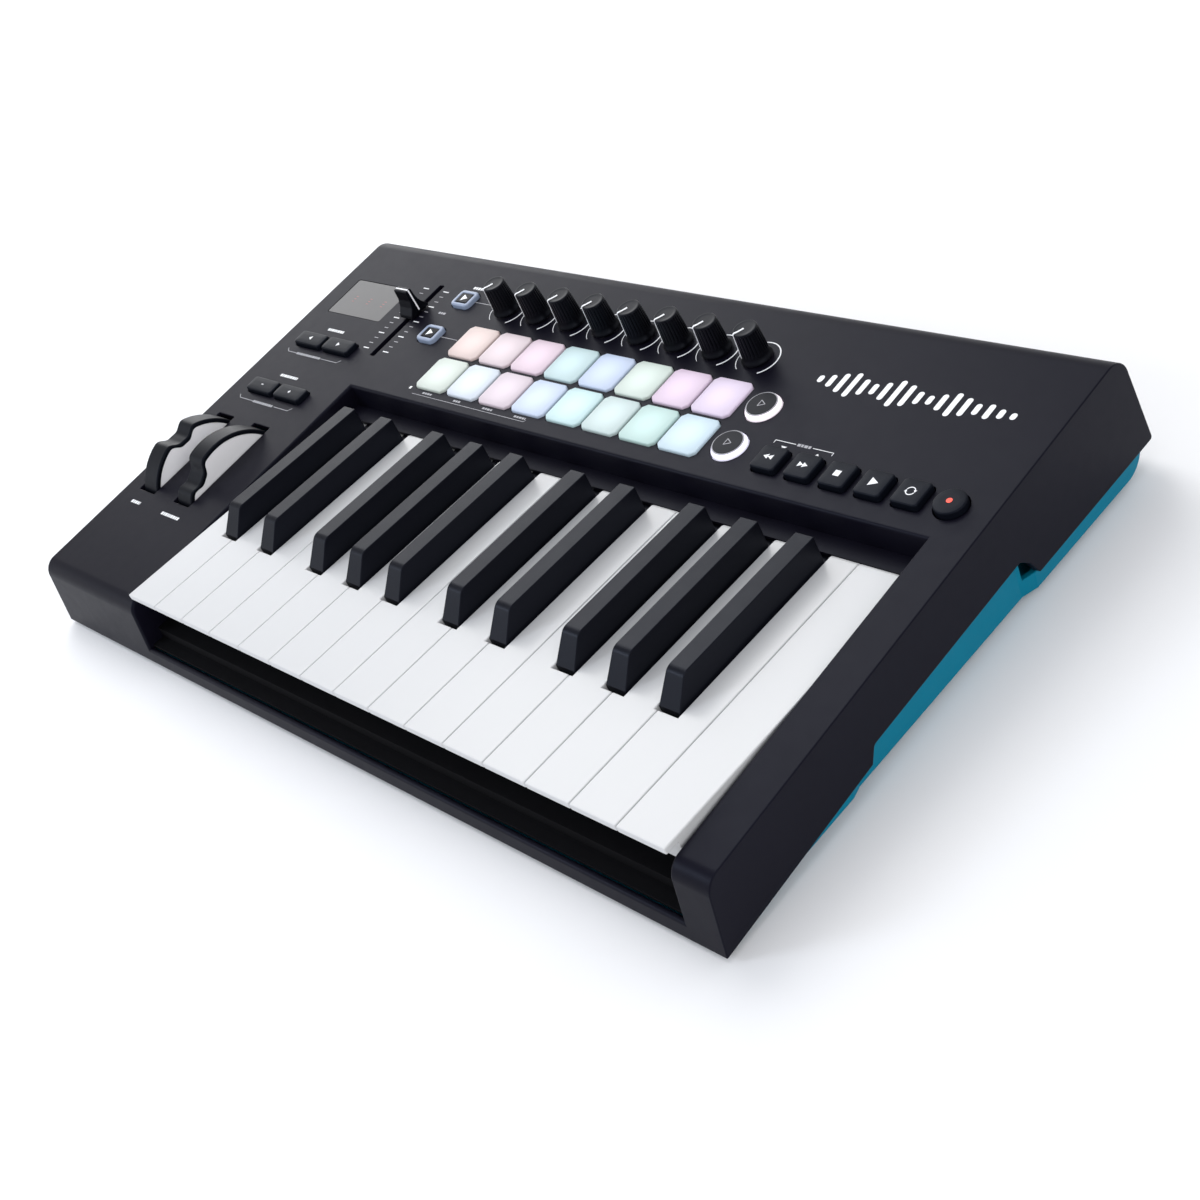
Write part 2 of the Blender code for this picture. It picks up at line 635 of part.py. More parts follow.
# ---- Keys -------------------------------------------------------------------------------------
def black_key_centres():
    """X of every black key, from the left."""
    centres = []
    for seam in range(1, WHITE_COUNT - 1):
        offset = BLACK_OFFSETS.get(seam % KEYS_PER_OCTAVE)
        if offset is not None:
            centres.append(KEYS_LEFT_X + seam * KEY_PITCH + offset)
    return centres


def key_pivot(x):
    """The point that a key turns about, on the chassis tongue."""
    return Vector((x, key_y(PIVOT_RUN), key_z(-PIVOT_DROP)))


def white_key_side():
    """Side view of a white key: thin front lip, hollow body and low tail."""
    return [(0.0, 0.0), (0.0, -WHITE_LIP), (WHITE_OVERHANG, -WHITE_LIP),
            (WHITE_OVERHANG, -WHITE_DEPTH), (TAIL_BODY_END, -WHITE_DEPTH),
            (TAIL_BODY_END, TAIL_TOP - TAIL_ROOF), (TAIL_END, TAIL_TOP - TAIL_ROOF),
            (TAIL_END, TAIL_TOP), (WHITE_LENGTH, TAIL_TOP), (WHITE_LENGTH, 0.0)]


def stepped_plan(front, neck, steps):
    """Plan of a strip that narrows from the front width to the neck width."""
    start, step, end = steps
    outline = [(front[0], start), (front[1], start)]
    if neck[1] < front[1] - CLEARANCE:
        outline += [(front[1], step), (neck[1], step)]
    outline += [(neck[1], end), (neck[0], end)]
    if neck[0] > front[0] + CLEARANCE:
        outline += [(neck[0], step), (front[0], step)]
    return outline


def build_white_key(index, surface):
    """One white key, cut away beside the black keys and hollow underneath."""
    left = KEYS_LEFT_X + index * KEY_PITCH + KEY_GAP / 2
    right = left + KEY_PITCH - KEY_GAP
    side = [(key_y(y), key_z(z)) for y, z in white_key_side()]
    key = prism(f"white_key_{index + 1:02d}", side, left, right, "X")
    reach = BLACK_BASE_WIDTH / 2 + BLACK_SIDE_GAP
    neck_left = left
    neck_right = right
    bm = bmesh.new()
    notch_y = key_y(BLACK_FRONT - NOTCH_GAP)
    for centre in black_key_centres():
        if left < centre + reach < right:
            neck_left = centre + reach
            add_box(bm, (left - MM, notch_y, 0.0), (neck_left, FAR, FAR))
        if left < centre - reach < right:
            neck_right = centre - reach
            add_box(bm, (neck_right, notch_y, 0.0), (right + MM, FAR, FAR))
    if bm.verts:
        combine(key, finish_mesh(bm, "notches"), "DIFFERENCE")
    else:
        bm.free()
    wall = WHITE_WALL
    inside = stepped_plan((left + wall, right - wall), (neck_left + wall, neck_right - wall),
                          (key_y(WHITE_OVERHANG + wall), notch_y - wall,
                           key_y(WHITE_LENGTH) - 2 * wall))
    hollow = prism("hollow", inside, key_z(-WHITE_DEPTH) - MM, key_z(-WHITE_TOP_THICKNESS))
    combine(key, hollow, "DIFFERENCE")
    pivot = key_pivot((left + right) / 2)
    key.data.transform(Matrix.Translation(-pivot))
    key.location = pivot
    paint(key, surface)


def build_black_key(number, centre, surface):
    """One black key: sloping front, tapered sides and a low tail."""
    side = [(BLACK_FRONT, -BLACK_DEPTH), (TAIL_BODY_END, -BLACK_DEPTH),
            (TAIL_BODY_END, TAIL_TOP - TAIL_ROOF), (TAIL_END, TAIL_TOP - TAIL_ROOF),
            (TAIL_END, TAIL_TOP), (BLACK_REAR, TAIL_TOP), (BLACK_REAR, 0.0),
            (BLACK_REAR, BLACK_HEIGHT - MM), (BLACK_REAR - MM, BLACK_HEIGHT),
            (BLACK_FRONT + BLACK_SETBACK, BLACK_HEIGHT),
            (BLACK_FRONT + BLACK_SETBACK - 1.4 * MM, BLACK_HEIGHT - MM),
            (BLACK_FRONT, 0.0)]
    half = BLACK_BASE_WIDTH / 2
    outline = [(key_y(y), key_z(z)) for y, z in side]
    key = prism(f"black_key_{number:02d}", outline, -half, half, "X")
    shrink = BLACK_TOP_WIDTH / BLACK_BASE_WIDTH
    for vertex in key.data.vertices:
        if vertex.co.z > KEY_TOP_Z + MM:
            vertex.co.x *= shrink
    pivot = key_pivot(0.0)
    key.data.transform(Matrix.Translation(-pivot))
    key.location = key_pivot(centre)
    paint(key, surface)


def build_keys():
    """The whole octave set."""
    white = material("white_key_plastic", (0.86, 0.87, 0.88), 0.3)
    for index in range(WHITE_COUNT):
        build_white_key(index, white)
    black = material("black_key_plastic", (0.03, 0.03, 0.035), 0.4)
    for number, centre in enumerate(black_key_centres(), start=1):
        build_black_key(number, centre, black)


def build_key_frame():
    """The chassis under the keys: front apron, deck, guide posts and the pivot tongue."""
    side = [(-3.4, -29.4), (3.0, -29.4), (3.0, -24.0), (173.0, -24.0), (173.0, -11.0),
            (164.2, -11.0), (164.2, -7.5), (176.0, -7.5), (176.0, -35.0), (173.5, -35.0),
            (173.5, -26.0), (5.5, -26.0), (5.5, -35.0), (3.0, -35.0), (3.0, -31.0),
            (-3.4, -31.0)]
    left, right = well_limits()
    outline = [(key_y(y * MM), key_z(z * MM)) for y, z in side]
    frame = prism("key_frame", outline, left + 0.4 * MM, right - 0.4 * MM, "X")
    bm = bmesh.new()
    for index in range(WHITE_COUNT):
        centre = KEYS_LEFT_X + (index + 0.5) * KEY_PITCH
        add_box(bm, (centre - 2 * MM, key_y(16 * MM), key_z(-25 * MM)),
                (centre + 2 * MM, key_y(19 * MM), key_z(-15 * MM)))
    combine(frame, finish_mesh(bm, "guides"), "UNION")
    paint(frame, material("chassis_plastic", (0.02, 0.02, 0.022), 0.6))


# ---- Boards -----------------------------------------------------------------------------------
def build_control_board():
    """The board under the panel with its potentiometers, fader body and switches."""
    x_left = panel_x(-79.0 * MM)
    x_step = panel_x(-6.0 * MM)
    x_right = panel_x(361.0 * MM)
    outline = [(x_left, 124 * MM), (x_step, 124 * MM), (x_step, 159 * MM),
               (x_right, 159 * MM), (x_right, 236 * MM), (x_left, 236 * MM)]
    low = BOARD_TOP - BOARD_THICKNESS
    board = prism("control_board", outline, low, BOARD_TOP, matrix=panel_matrix())
    bm = bmesh.new()
    root = BOARD_TOP - 0.4 * MM
    for x, run in knob_positions():
        add_panel_prism(bm, rectangle(*POT_BODY), x, run, root, POT_TOP)
    add_panel_prism(bm, rectangle(*FADER_BODY), panel_x(FADER_SLOT_CENTRE[0]),
                   FADER_SLOT_CENTRE[1], root, POT_TOP)
    spots = [entry[:2] for entry in RECT_BUTTONS.values()]
    spots += [entry[:2] for entry in ROUND_BUTTONS.values()]
    for x, run in spots:
        add_panel_prism(bm, rectangle(*SWITCH_BODY), panel_x(x * MM), run * MM, root, SWITCH_TOP)
    combine(board, finish_mesh(bm, "parts", panel_matrix()), "UNION")
    paint(board, material("board_green", (0.02, 0.12, 0.06), 0.5))


def socket_board_top():
    """Z of the top of the rear socket board."""
    return SOCKET_Z - USB_SHELL[1] / 2


def build_io_board():
    """The rear board with the USB socket and the pedal jack."""
    top = socket_board_top()
    front, edge = [key_y(distance) for distance in SOCKET_BOARD]
    board = prism("io_board", [(panel_x(274 * MM), front), (panel_x(336 * MM), front),
                               (panel_x(336 * MM), edge), (panel_x(274 * MM), edge)],
                  top - BOARD_THICKNESS, top)
    face = key_y(SOCKET_FACE)
    depth = 17.0 * MM
    usb = panel_x(USB_X)
    jack = panel_x(JACK_X)
    bm = bmesh.new()
    add_box(bm, (usb - USB_SHELL[0] / 2, face - depth, top - 0.4 * MM),
            (usb + USB_SHELL[0] / 2, face, top + USB_SHELL[1]))
    add_box(bm, (jack - JACK_BODY[0] / 2, face - 24 * MM, top - 0.4 * MM),
            (jack + JACK_BODY[0] / 2, face - 5.2 * MM, top + JACK_BODY[1]))
    combine(board, finish_mesh(bm, "shells"), "UNION")
    back = Matrix.Translation((jack, 0.0, SOCKET_Z)) @ Matrix.Rotation(math.radians(90), 4, "X")
    collar = prism("collar", circle(JACK_COLLAR, 16), -face, -face + 8 * MM, "Z", back)
    combine(board, collar, "UNION")
    mouth = prism("mouth", rectangle(*USB_MOUTH), -face - MM, -face + 12 * MM, "Z",
                  Matrix.Translation((usb, 0.0, SOCKET_Z))
                  @ Matrix.Rotation(math.radians(90), 4, "X"))
    combine(board, mouth, "DIFFERENCE")
    bore = prism("bore", circle(JACK_BORE, 12), -face - MM, -face + 20 * MM, "Z", back)
    combine(board, bore, "DIFFERENCE")
    paint(board, material("socket_metal", (0.35, 0.36, 0.38), 0.35, 0.6))


# ---- Panel controls -----------------------------------------------------------------------------
def build_pad_mat(panel):
    """One moulded silicone sheet with sixteen raised pads."""
    first = list(pad_positions())[0]
    last = list(pad_positions())[-1]
    reach_x = PAD_SIZE[0] / 2 + MAT_MARGIN
    reach_run = PAD_SIZE[1] / 2 + MAT_MARGIN
    low = BOARD_TOP + CLEARANCE
    sheet_top = low + MAT_THICKNESS
    outline = [(first[0] - reach_x, first[1] - reach_run),
               (last[0] + reach_x, first[1] - reach_run),
               (last[0] + reach_x, last[1] + reach_run),
               (first[0] - reach_x, last[1] + reach_run)]
    mat = prism("pad_mat", outline, low, sheet_top)
    bm = bmesh.new()
    pad = chamfered(*PAD_SIZE, PAD_CHAMFER)
    for x, run in pad_positions():
        add_panel_prism(bm, pad, x, run, sheet_top - 0.5 * MM, PAD_HEIGHT)
    combine(mat, finish_mesh(bm, "pads"), "UNION")
    mat.parent = panel
    paint(mat, material("pad_silicone", (0.75, 0.8, 0.82), 0.55))


def build_knobs(panel):
    """Eight turned knobs, each with its shaft."""
    surface = material("knob_rubber", (0.02, 0.02, 0.024), 0.5)
    profile = [(SHAFT_RADIUS, SHAFT_END), (SHAFT_RADIUS, 1.0 * MM),
               (KNOB_SKIRT_RADIUS, 1.0 * MM), (KNOB_SKIRT_RADIUS, 2.2 * MM),
               (KNOB_SKIRT_RADIUS - 0.9 * MM, 4.4 * MM),
               (KNOB_TOP_RADIUS, KNOB_HEIGHT - 0.6 * MM),
               (KNOB_TOP_RADIUS - 0.6 * MM, KNOB_HEIGHT)]
    for number, (x, run) in enumerate(knob_positions(), start=1):
        bm = bmesh.new()
        add_turned(bm, profile, 16)
        knob = finish_mesh(bm, f"knob_{number}")
        knob.parent = panel
        knob.location = (x, run, 0.0)
        paint(knob, surface)


def build_fader_cap(panel):
    """The tall waisted cap and the stem that carries it through the slot."""
    outline = [(run * MM, height * MM) for run, height in FADER_CAP_SIDE]
    cap = prism("fader_cap", outline, -FADER_CAP_HALF_WIDTH, FADER_CAP_HALF_WIDTH, "X")
    stem = prism("stem", rectangle(*FADER_STEM), SHAFT_END, 2.0 * MM)
    combine(cap, stem, "UNION")
    cap.parent = panel
    cap.location = (panel_x(FADER_SLOT_CENTRE[0]), FADER_RUN, 0.0)
    paint(cap, material("fader_plastic", (0.015, 0.015, 0.018), 0.4))


def build_buttons(panel):
    """Every push button: a cap above the panel and a retaining flange below it."""
    rubber = material("button_rubber", (0.025, 0.028, 0.035), 0.55)
    for name, (x, run, width, length, corner, height) in RECT_BUTTONS.items():
        cap = prism(name, rectangle(width * MM, length * MM, corner * MM),
                    FLANGE_BOTTOM, height * MM)
        flange = rectangle(width * MM + 2 * BUTTON_FLANGE, length * MM + 2 * BUTTON_FLANGE)
        combine(cap, prism("flange", flange, FLANGE_BOTTOM - 0.1 * MM, FLANGE_TOP), "UNION")
        cap.parent = panel
        cap.location = (panel_x(x * MM), run * MM, 0.0)
        paint(cap, rubber)
    for name, (x, run, radius, height) in ROUND_BUTTONS.items():
        size = radius * MM
        profile = [(size + BUTTON_FLANGE, FLANGE_BOTTOM), (size + BUTTON_FLANGE, FLANGE_TOP),
                   (size, FLANGE_TOP), (size, (height - 0.6) * MM),
                   (size - 0.8 * MM, height * MM)]
        bm = bmesh.new()
        add_turned(bm, profile, 20)
        cap = finish_mesh(bm, name)
        cap.parent = panel
        cap.location = (panel_x(x * MM), run * MM, 0.0)
        paint(cap, rubber)


def build_display_window(panel):
    """The smoked window that lies in the panel's recess."""
    margin = 2 * CLEARANCE
    window = prism("display_window", rectangle(DISPLAY_SIZE[0] - margin,
                                               DISPLAY_SIZE[1] - margin, 0.8 * MM),
                   -DISPLAY_THICKNESS / 2, DISPLAY_THICKNESS / 2)
    window.parent = panel
    rest = -DISPLAY_RECESS + CLEARANCE + DISPLAY_THICKNESS / 2
    window.location = (panel_x(DISPLAY_CENTRE[0]), DISPLAY_CENTRE[1], rest)
    paint(window, material("smoked_window", (0.08, 0.08, 0.09), 0.15))


# ---- Wheels -------------------------------------------------------------------------------------
def wheel_outline(name):
    """Side view of a wheel: a half disc with a thumb notch, round a hub."""
    notch = WHEEL_NOTCH[name]
    middle = WHEEL_MIDDLE[name]
    outline = []
    steps = 24
    for step in range(steps + 1):
        angle = middle - WHEEL_SWEEP + 2 * WHEEL_SWEEP * step / steps
        dip = math.exp(-((angle - notch) / WHEEL_NOTCH_SPREAD) ** 2)
        radius = WHEEL_RADIUS - WHEEL_NOTCH_DEPTH * dip
        turn = math.radians(angle)
        outline.append((radius * math.sin(turn), radius * math.cos(turn)))
    for step in range(1, 6):
        turn = math.radians(middle + WHEEL_SWEEP + (360 - 2 * WHEEL_SWEEP) * step / 6)
        outline.append((HUB_RADIUS * math.sin(turn), HUB_RADIUS * math.cos(turn)))
    return outline


def build_wheels(panel):
    """The pitch and modulation wheels on their shared axle line."""
    surface = material("wheel_rubber", (0.02, 0.02, 0.022), 0.6)
    half = WHEEL_WIDTH / 2
    for name, x in WHEEL_X.items():
        wheel = prism(name, wheel_outline(name), -half, half, "X")
        bore = prism("bore", circle(AXLE_BORE, 12), -half - MM, half + MM, "X")
        combine(wheel, bore, "DIFFERENCE")
        wheel.parent = panel
        wheel.location = (panel_x(x), WHEEL_RUN, -WHEEL_DROP)
        paint(wheel, surface)


def build_wheel_bracket():
    """Three upright plates on one foot, with the axle through them."""
    axle = panel_matrix() @ Vector((0.0, WHEEL_RUN, -WHEEL_DROP))
    foot_low = TRAY_FLOOR_TOP + CLEARANCE
    outline = [(axle.y - 5 * MM, foot_low), (axle.y + 10 * MM, foot_low),
               (axle.y + 10 * MM, foot_low + 6 * MM), (axle.y + 5 * MM, axle.z + 4 * MM),
               (axle.y - 5 * MM, axle.z + 4 * MM)]
    first = panel_x(-77.0 * MM)
    last = panel_x(-21.0 * MM)
    thickness = 3.0 * MM
    bracket = prism("wheel_bracket", outline, first, last, "X")
    bays = ((first + thickness, panel_x(-52.0 * MM)), (panel_x(-49.0 * MM), last - thickness))
    bm = bmesh.new()
    for start, end in bays:
        add_box(bm, (start, axle.y - FAR, foot_low + 5 * MM), (end, axle.y + FAR, FAR))
    combine(bracket, finish_mesh(bm, "bays"), "DIFFERENCE")
    rod = [(axle.y + a, axle.z + b) for a, b in circle(AXLE_RADIUS, 12)]
    combine(bracket, prism("rod", rod, first + MM, last - MM, "X"), "UNION")
    paint(bracket, material("bracket_plastic", (0.05, 0.05, 0.055), 0.55))


# ---- Assembly -------------------------------------------------------------------------------------
def clear_scene():
    """Start from an empty scene."""
    for piece in list(bpy.data.objects):
        bpy.data.objects.remove(piece)


def panel_empty():
    """The sloping frame that carries the panel's controls."""
    empty = bpy.data.objects.new("panel_frame", None)
    bpy.context.scene.collection.objects.link(empty)
    empty.matrix_world = panel_matrix()
    return empty


def main():
    """Build the whole keyboard."""
    clear_scene()
    panel = panel_empty()
    build_top_cover()
    build_bottom_tray()
    build_feet()
    build_keys()
    build_key_frame()
    build_control_board()
    build_io_board()
    build_pad_mat(panel)
    build_knobs(panel)
    build_fader_cap(panel)
    build_buttons(panel)
    build_display_window(panel)
    build_wheels(panel)
    build_wheel_bracket()


main()
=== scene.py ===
"""The finished look of the MIDI keyboard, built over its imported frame.

Everything is in metres. Places come from the frame: the panel's slope and origin are read from a
knob's joint, and the place and size of each control from its CAD node. A point on the sloping
panel is (x, run, height): run goes up the slope from the key fronts, height is square to it.
"""
import json
import math

import bmesh
import bpy
from mathutils import Matrix, Quaternion, Vector


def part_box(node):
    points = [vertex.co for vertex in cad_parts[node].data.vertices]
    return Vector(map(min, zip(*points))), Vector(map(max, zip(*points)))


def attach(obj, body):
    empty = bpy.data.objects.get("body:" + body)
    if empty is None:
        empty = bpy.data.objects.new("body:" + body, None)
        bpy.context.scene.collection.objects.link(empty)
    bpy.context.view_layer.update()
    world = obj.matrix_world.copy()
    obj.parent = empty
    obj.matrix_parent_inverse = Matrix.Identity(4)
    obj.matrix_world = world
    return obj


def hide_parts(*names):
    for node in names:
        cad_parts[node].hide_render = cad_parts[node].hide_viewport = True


MM = 0.001
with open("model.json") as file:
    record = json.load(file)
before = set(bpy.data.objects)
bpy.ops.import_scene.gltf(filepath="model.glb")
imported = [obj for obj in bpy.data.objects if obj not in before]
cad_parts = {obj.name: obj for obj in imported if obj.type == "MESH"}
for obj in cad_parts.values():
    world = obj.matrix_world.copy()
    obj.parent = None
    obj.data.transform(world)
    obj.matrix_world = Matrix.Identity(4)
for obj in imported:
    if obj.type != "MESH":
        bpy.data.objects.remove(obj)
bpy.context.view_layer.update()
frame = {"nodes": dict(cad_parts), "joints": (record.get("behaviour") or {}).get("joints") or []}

# ---- Read from the frame ----
JOINTS = {joint["name"]: joint for joint in frame["joints"]}
KNOB_AXIS = JOINTS["knob_1_turn"]["axis"]
KNOB_POINT = Vector(JOINTS["knob_1_turn"]["pos_m"])
TILT = math.atan2(KNOB_AXIS[1], -KNOB_AXIS[2])
FIRST_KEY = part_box("white_key_01")
LAST_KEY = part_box("white_key_15")
KEY_FRONT_Y = FIRST_KEY[0].y
KEY_TOP_Z = FIRST_KEY[1].z
PANEL_Z = KNOB_POINT.z - (KNOB_POINT.y - KEY_FRONT_Y) * math.tan(TILT)
PANEL = Matrix.Translation((0.0, KEY_FRONT_Y, PANEL_Z)) @ Matrix.Rotation(TILT, 4, "X")
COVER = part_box("top_cover")
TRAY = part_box("bottom_tray")
HALF_WIDTH = COVER[1].x
FRONT_Y = COVER[0].y
UNDERSIDE_Z = TRAY[0].z

# ---- Case ----
REAR_Y = COVER[1].y + 0.3 * MM
REAR_FOOT_Z = 11.8 * MM
FRONT_LEAN = 0.152
REAR_LEAN = 0.169
SIDE_WALL = 3.0 * MM
PANEL_THICKNESS = 2.5 * MM
WELL_GAP = 1.2 * MM
WELL_BACK = 151.7 * MM
WELL_WALL = 2.8 * MM
SHELF_FRONT = 141.5 * MM
SHELF_TOP = -2.6 * MM
SHELF_UNDER = -4.2 * MM
RAIL_TOP = -30.5 * MM
FAR = 100.0 * MM
WELL = (FIRST_KEY[0].x - WELL_GAP, LAST_KEY[1].x + WELL_GAP)
TRAY_WALL = 2.5 * MM
TRAY_END = 259.5 * MM
TRAY_ROUND = 12.0 * MM
# Sockets in the rear wall: x from the first key's edge in millimetres, and height.
USB_X = 290.0
PEDAL_X = 318.0
LOCK_X = 345.0
SOCKET_Z = 28.0 * MM

# ---- Keys ----
WHITE_LENGTH = 140.0 * MM
WHITE_LIP = 3.0 * MM
WHITE_OVERHANG = 6.0 * MM
WHITE_DEPTH = 13.0 * MM
WHITE_WALL = 1.6 * MM
SEAM_FILL = 0.27 * MM
KEY_SIDE_GAP = 0.4 * MM
TAIL_TOP = -5.0 * MM
TAIL_UNDER = TAIL_TOP - 1.4 * MM
TAIL_END = 171.0 * MM
TAIL_BODY_END = 163.0 * MM
BLACK_FRONT = 50.4 * MM
BLACK_REAR = 135.5 * MM
BLACK_HEIGHT = 11.5 * MM
BLACK_SETBACK = 9.2 * MM
BLACK_NOSE = 4.5 * MM
NOTCH_GAP = 1.8 * MM
BLACK_DEPTH = 9.5 * MM
BLACK_TAPER = 8.8 / 10.5
BLACK_SIDE_GAP = 0.6 * MM

# ---- Controls ----
FLANGE = 0.8 * MM
OPENING_GAP = 0.5 * MM
PAD_COLUMNS = 8
PAD_ROWS = 2
PAD_SIZE = (22.0 * MM, 21.2 * MM)
PAD_CHAMFER = 2.2 * MM
PAD_GAP = 0.6 * MM
PAD_GLOW = 0.22
CAP_CORNER = 1.6 * MM
FRAME_CORNER = 2.6 * MM
SKIRT_FOOT = -3.8 * MM
SKIRT_TOP = -3.1 * MM
KNOB_POINTER = math.radians(-120)
KNOB_SEGMENTS = 192
KNOB_FLUTES = 24
KNOB_GROOVE = 0.32 * MM
KNOB_HEIGHTS = (1.2, 1.6, 2.2, 2.8, 3.4, 4.0, 4.4, 4.8, 5.4, 7.0, 9.0, 11.0, 13.0, 15.0, 15.8,
                16.1)
KNOB_TOP = ((5.45, 16.5), (5.2, 16.72), (4.7, 16.8), (4.4, 16.7), (3.0, 16.62), (1.0, 16.6))
SHAFT_HOLE = 3.6 * MM
SCALE_RADIUS = 10.2 * MM
FADER_SLOT = (3.6 * MM, 55.0 * MM)
FADER_MIDDLE = 201.5 * MM
FADER_X = -7.4
WHEEL_OPENING = (14.2 * MM, 58.0 * MM)
WHEEL_RUN = 85.5 * MM
WHEEL_RADIUS = 32.0 * MM
NOTCH_DEPTH = 4.4 * MM
NOTCH_SPREAD = 12.0
CUTTER_REACH = 12.0 * MM
NOISE_DETAIL = 3.0
INK = 0.05 * MM

RUBBER_CAPS = ("track_left_button", "track_right_button", "octave_down_button",
               "octave_up_button", "rewind_button", "forward_button", "stop_button",
               "play_button", "loop_button")
FRAMED_BUTTONS = ("fader_button_upper", "fader_button_lower")
SCENE_BUTTONS = ("scene_button_upper", "scene_button_lower")
KNOBS = tuple(f"knob_{number}" for number in range(1, 9))
# The middle of each wheel's thumb notch and of its tread, in degrees from the top.
WHEELS = {"pitch_wheel": (1.0, 0.0), "modulation_wheel": (-32.0, -30.0)}

# Screw places in the tray: x and the distance behind the key fronts, from the first key's edge.
SCREWS = ((-45.0, 20.0), (360.0, 92.0), (-70.0, 248.0), (120.0, 248.0), (230.0, 248.0),
          (356.0, 246.0))


def key_y(distance):
    """Y of a point a given distance behind the key fronts."""
    return KEY_FRONT_Y + distance


def key_z(height):
    """Z of a point a given height above the white key tops."""
    return KEY_TOP_Z + height


def from_keys(x):
    """X of a point given in millimetres from the first white key's left edge."""
    return FIRST_KEY[0].x - KEY_SIDE_GAP + x * MM


def panel_box(node):
    """Lowest and highest corner of a CAD node in panel coordinates."""
    inverse = PANEL.inverted()
    points = [inverse @ vertex.co for vertex in frame["nodes"][node].data.vertices]
    low = Vector([min(point[axis] for point in points) for axis in range(3)])
    high = Vector([max(point[axis] for point in points) for axis in range(3)])
    return low, high


def panel_spot(node):
    """(x, run) of the middle of a control, and its highest point."""
    low, high = panel_box(node)
    return (low.x + high.x) / 2, (low.y + high.y) / 2, high.z


# ---- Materials ----
def mixed(tree, kind, low, high, factor):
    """A node that fades between two values or colours by a factor output."""
    node = tree.nodes.new("ShaderNodeMix")
    node.data_type = kind
    first, second, result = {"RGBA": (6, 7, 2), "FLOAT": (2, 3, 0)}[kind]
    node.inputs[first].default_value = low
    node.inputs[second].default_value = high
    tree.links.new(factor, node.inputs[0])
    return node.outputs[result]


def noise(tree, size):
    """A noise pattern whose features are about the given size."""
    place = tree.nodes.new("ShaderNodeTexCoord")
    node = tree.nodes.new("ShaderNodeTexNoise")
    node.inputs["Scale"].default_value = 1.0 / size
    node.inputs["Detail"].default_value = NOISE_DETAIL
    tree.links.new(place.outputs["Object"], node.inputs["Vector"])
    return node.outputs["Fac"]


def surface(name, colour, roughness, grain=0.35 * MM, depth=0.02 * MM, spread=0.12,
            gloss_spread=0.05, **sockets):
    """Moulded material: a fine grain in the bump, and broad soft changes of tone and gloss."""
    material = bpy.data.materials.new(name)
    material.use_nodes = True
    tree = material.node_tree
    shader = tree.nodes["Principled BSDF"]
    broad = noise(tree, 40 * MM)
    dark = (*[channel * (1 - spread) for channel in colour], 1.0)
    light = (*[min(1.0, channel * (1 + spread)) for channel in colour], 1.0)
    tree.links.new(mixed(tree, "RGBA", dark, light, broad), shader.inputs["Base Color"])
    gloss = mixed(tree, "FLOAT", roughness - gloss_spread, roughness + gloss_spread,
                  noise(tree, 6 * MM))
    tree.links.new(gloss, shader.inputs["Roughness"])
    bump = tree.nodes.new("ShaderNodeBump")
    bump.inputs["Strength"].default_value = 0.6
    bump.inputs["Distance"].default_value = depth
    tree.links.new(noise(tree, grain), bump.inputs["Height"])
    tree.links.new(bump.outputs["Normal"], shader.inputs["Normal"])
    for socket, value in sockets.items():
        shader.inputs[socket.replace("_", " ")].default_value = value
    return material


def lit_surface(name, colour, glow, reach):
    """Translucent silicone lit from below: brightest in the middle, tinted towards its rim."""
    material = surface(name, colour, 0.5, grain=0.5 * MM, depth=0.01 * MM, spread=0.03)
    tree = material.node_tree
    shader = tree.nodes["Principled BSDF"]
    place = tree.nodes.new("ShaderNodeTexCoord")
    flat = tree.nodes.new("ShaderNodeVectorMath")
    flat.operation = "MULTIPLY"
    flat.inputs[1].default_value = (1.0 / reach, 1.0 / reach, 0.0)
    tree.links.new(place.outputs["Object"], flat.inputs[0])
    length = tree.nodes.new("ShaderNodeVectorMath")
    length.operation = "LENGTH"
    tree.links.new(flat.outputs[0], length.inputs[0])
    falloff = tree.nodes.new("ShaderNodeMapRange")
    falloff.interpolation_type = "SMOOTHSTEP"
    falloff.inputs["From Min"].default_value = 0.1
    falloff.inputs["From Max"].default_value = 1.25
    tree.links.new(length.outputs["Value"], falloff.inputs["Value"])
    middle = (*[channel * 1.22 + 0.02 for channel in colour], 1.0)
    rim = (*[channel * 0.95 for channel in colour], 1.0)
    tone = mixed(tree, "RGBA", middle, rim, falloff.outputs["Result"])
    tree.links.new(tone, shader.inputs["Base Color"])
    tree.links.new(tone, shader.inputs["Emission Color"])
    shader.inputs["Emission Strength"].default_value = glow
    return material


COOL = (0.72, 0.80, 1.0, 1.0)
CASE = surface("case_charcoal", (0.0045, 0.0040, 0.0085), 0.40, grain=0.28 * MM,
               Specular_IOR_Level=0.09, Specular_Tint=COOL)
TEAL = surface("tray_teal", (0.0, 0.165, 0.26), 0.42, Specular_IOR_Level=0.1)
WHITE = surface("key_white", (0.59, 0.595, 0.605), 0.28, depth=0.001 * MM, spread=0.006,
                gloss_spread=0.01)
BLACK = surface("key_black", (0.0035, 0.0037, 0.0065), 0.38, grain=0.3 * MM, depth=0.05 * MM,
                Specular_IOR_Level=0.15, Specular_Tint=COOL)
KNOB = surface("knob_black", (0.0018, 0.0018, 0.003), 0.36, depth=0.01 * MM,
               Specular_IOR_Level=0.12, Specular_Tint=COOL)
CAP = surface("cap_black", (0.0035, 0.0045, 0.008), 0.42, depth=0.01 * MM,
              Specular_IOR_Level=0.1, Specular_Tint=COOL)
WHEEL = surface("wheel_black", (0.0025, 0.003, 0.005), 0.42, depth=0.015 * MM,
                Specular_IOR_Level=0.12, Specular_Tint=COOL)
DISC = surface("wheel_disc", (0.88, 0.87, 0.89), 0.35, depth=0.002 * MM, spread=0.02)
PRINT = surface("print_white", (0.85, 0.86, 0.88), 0.5, depth=0.0, spread=0.03)
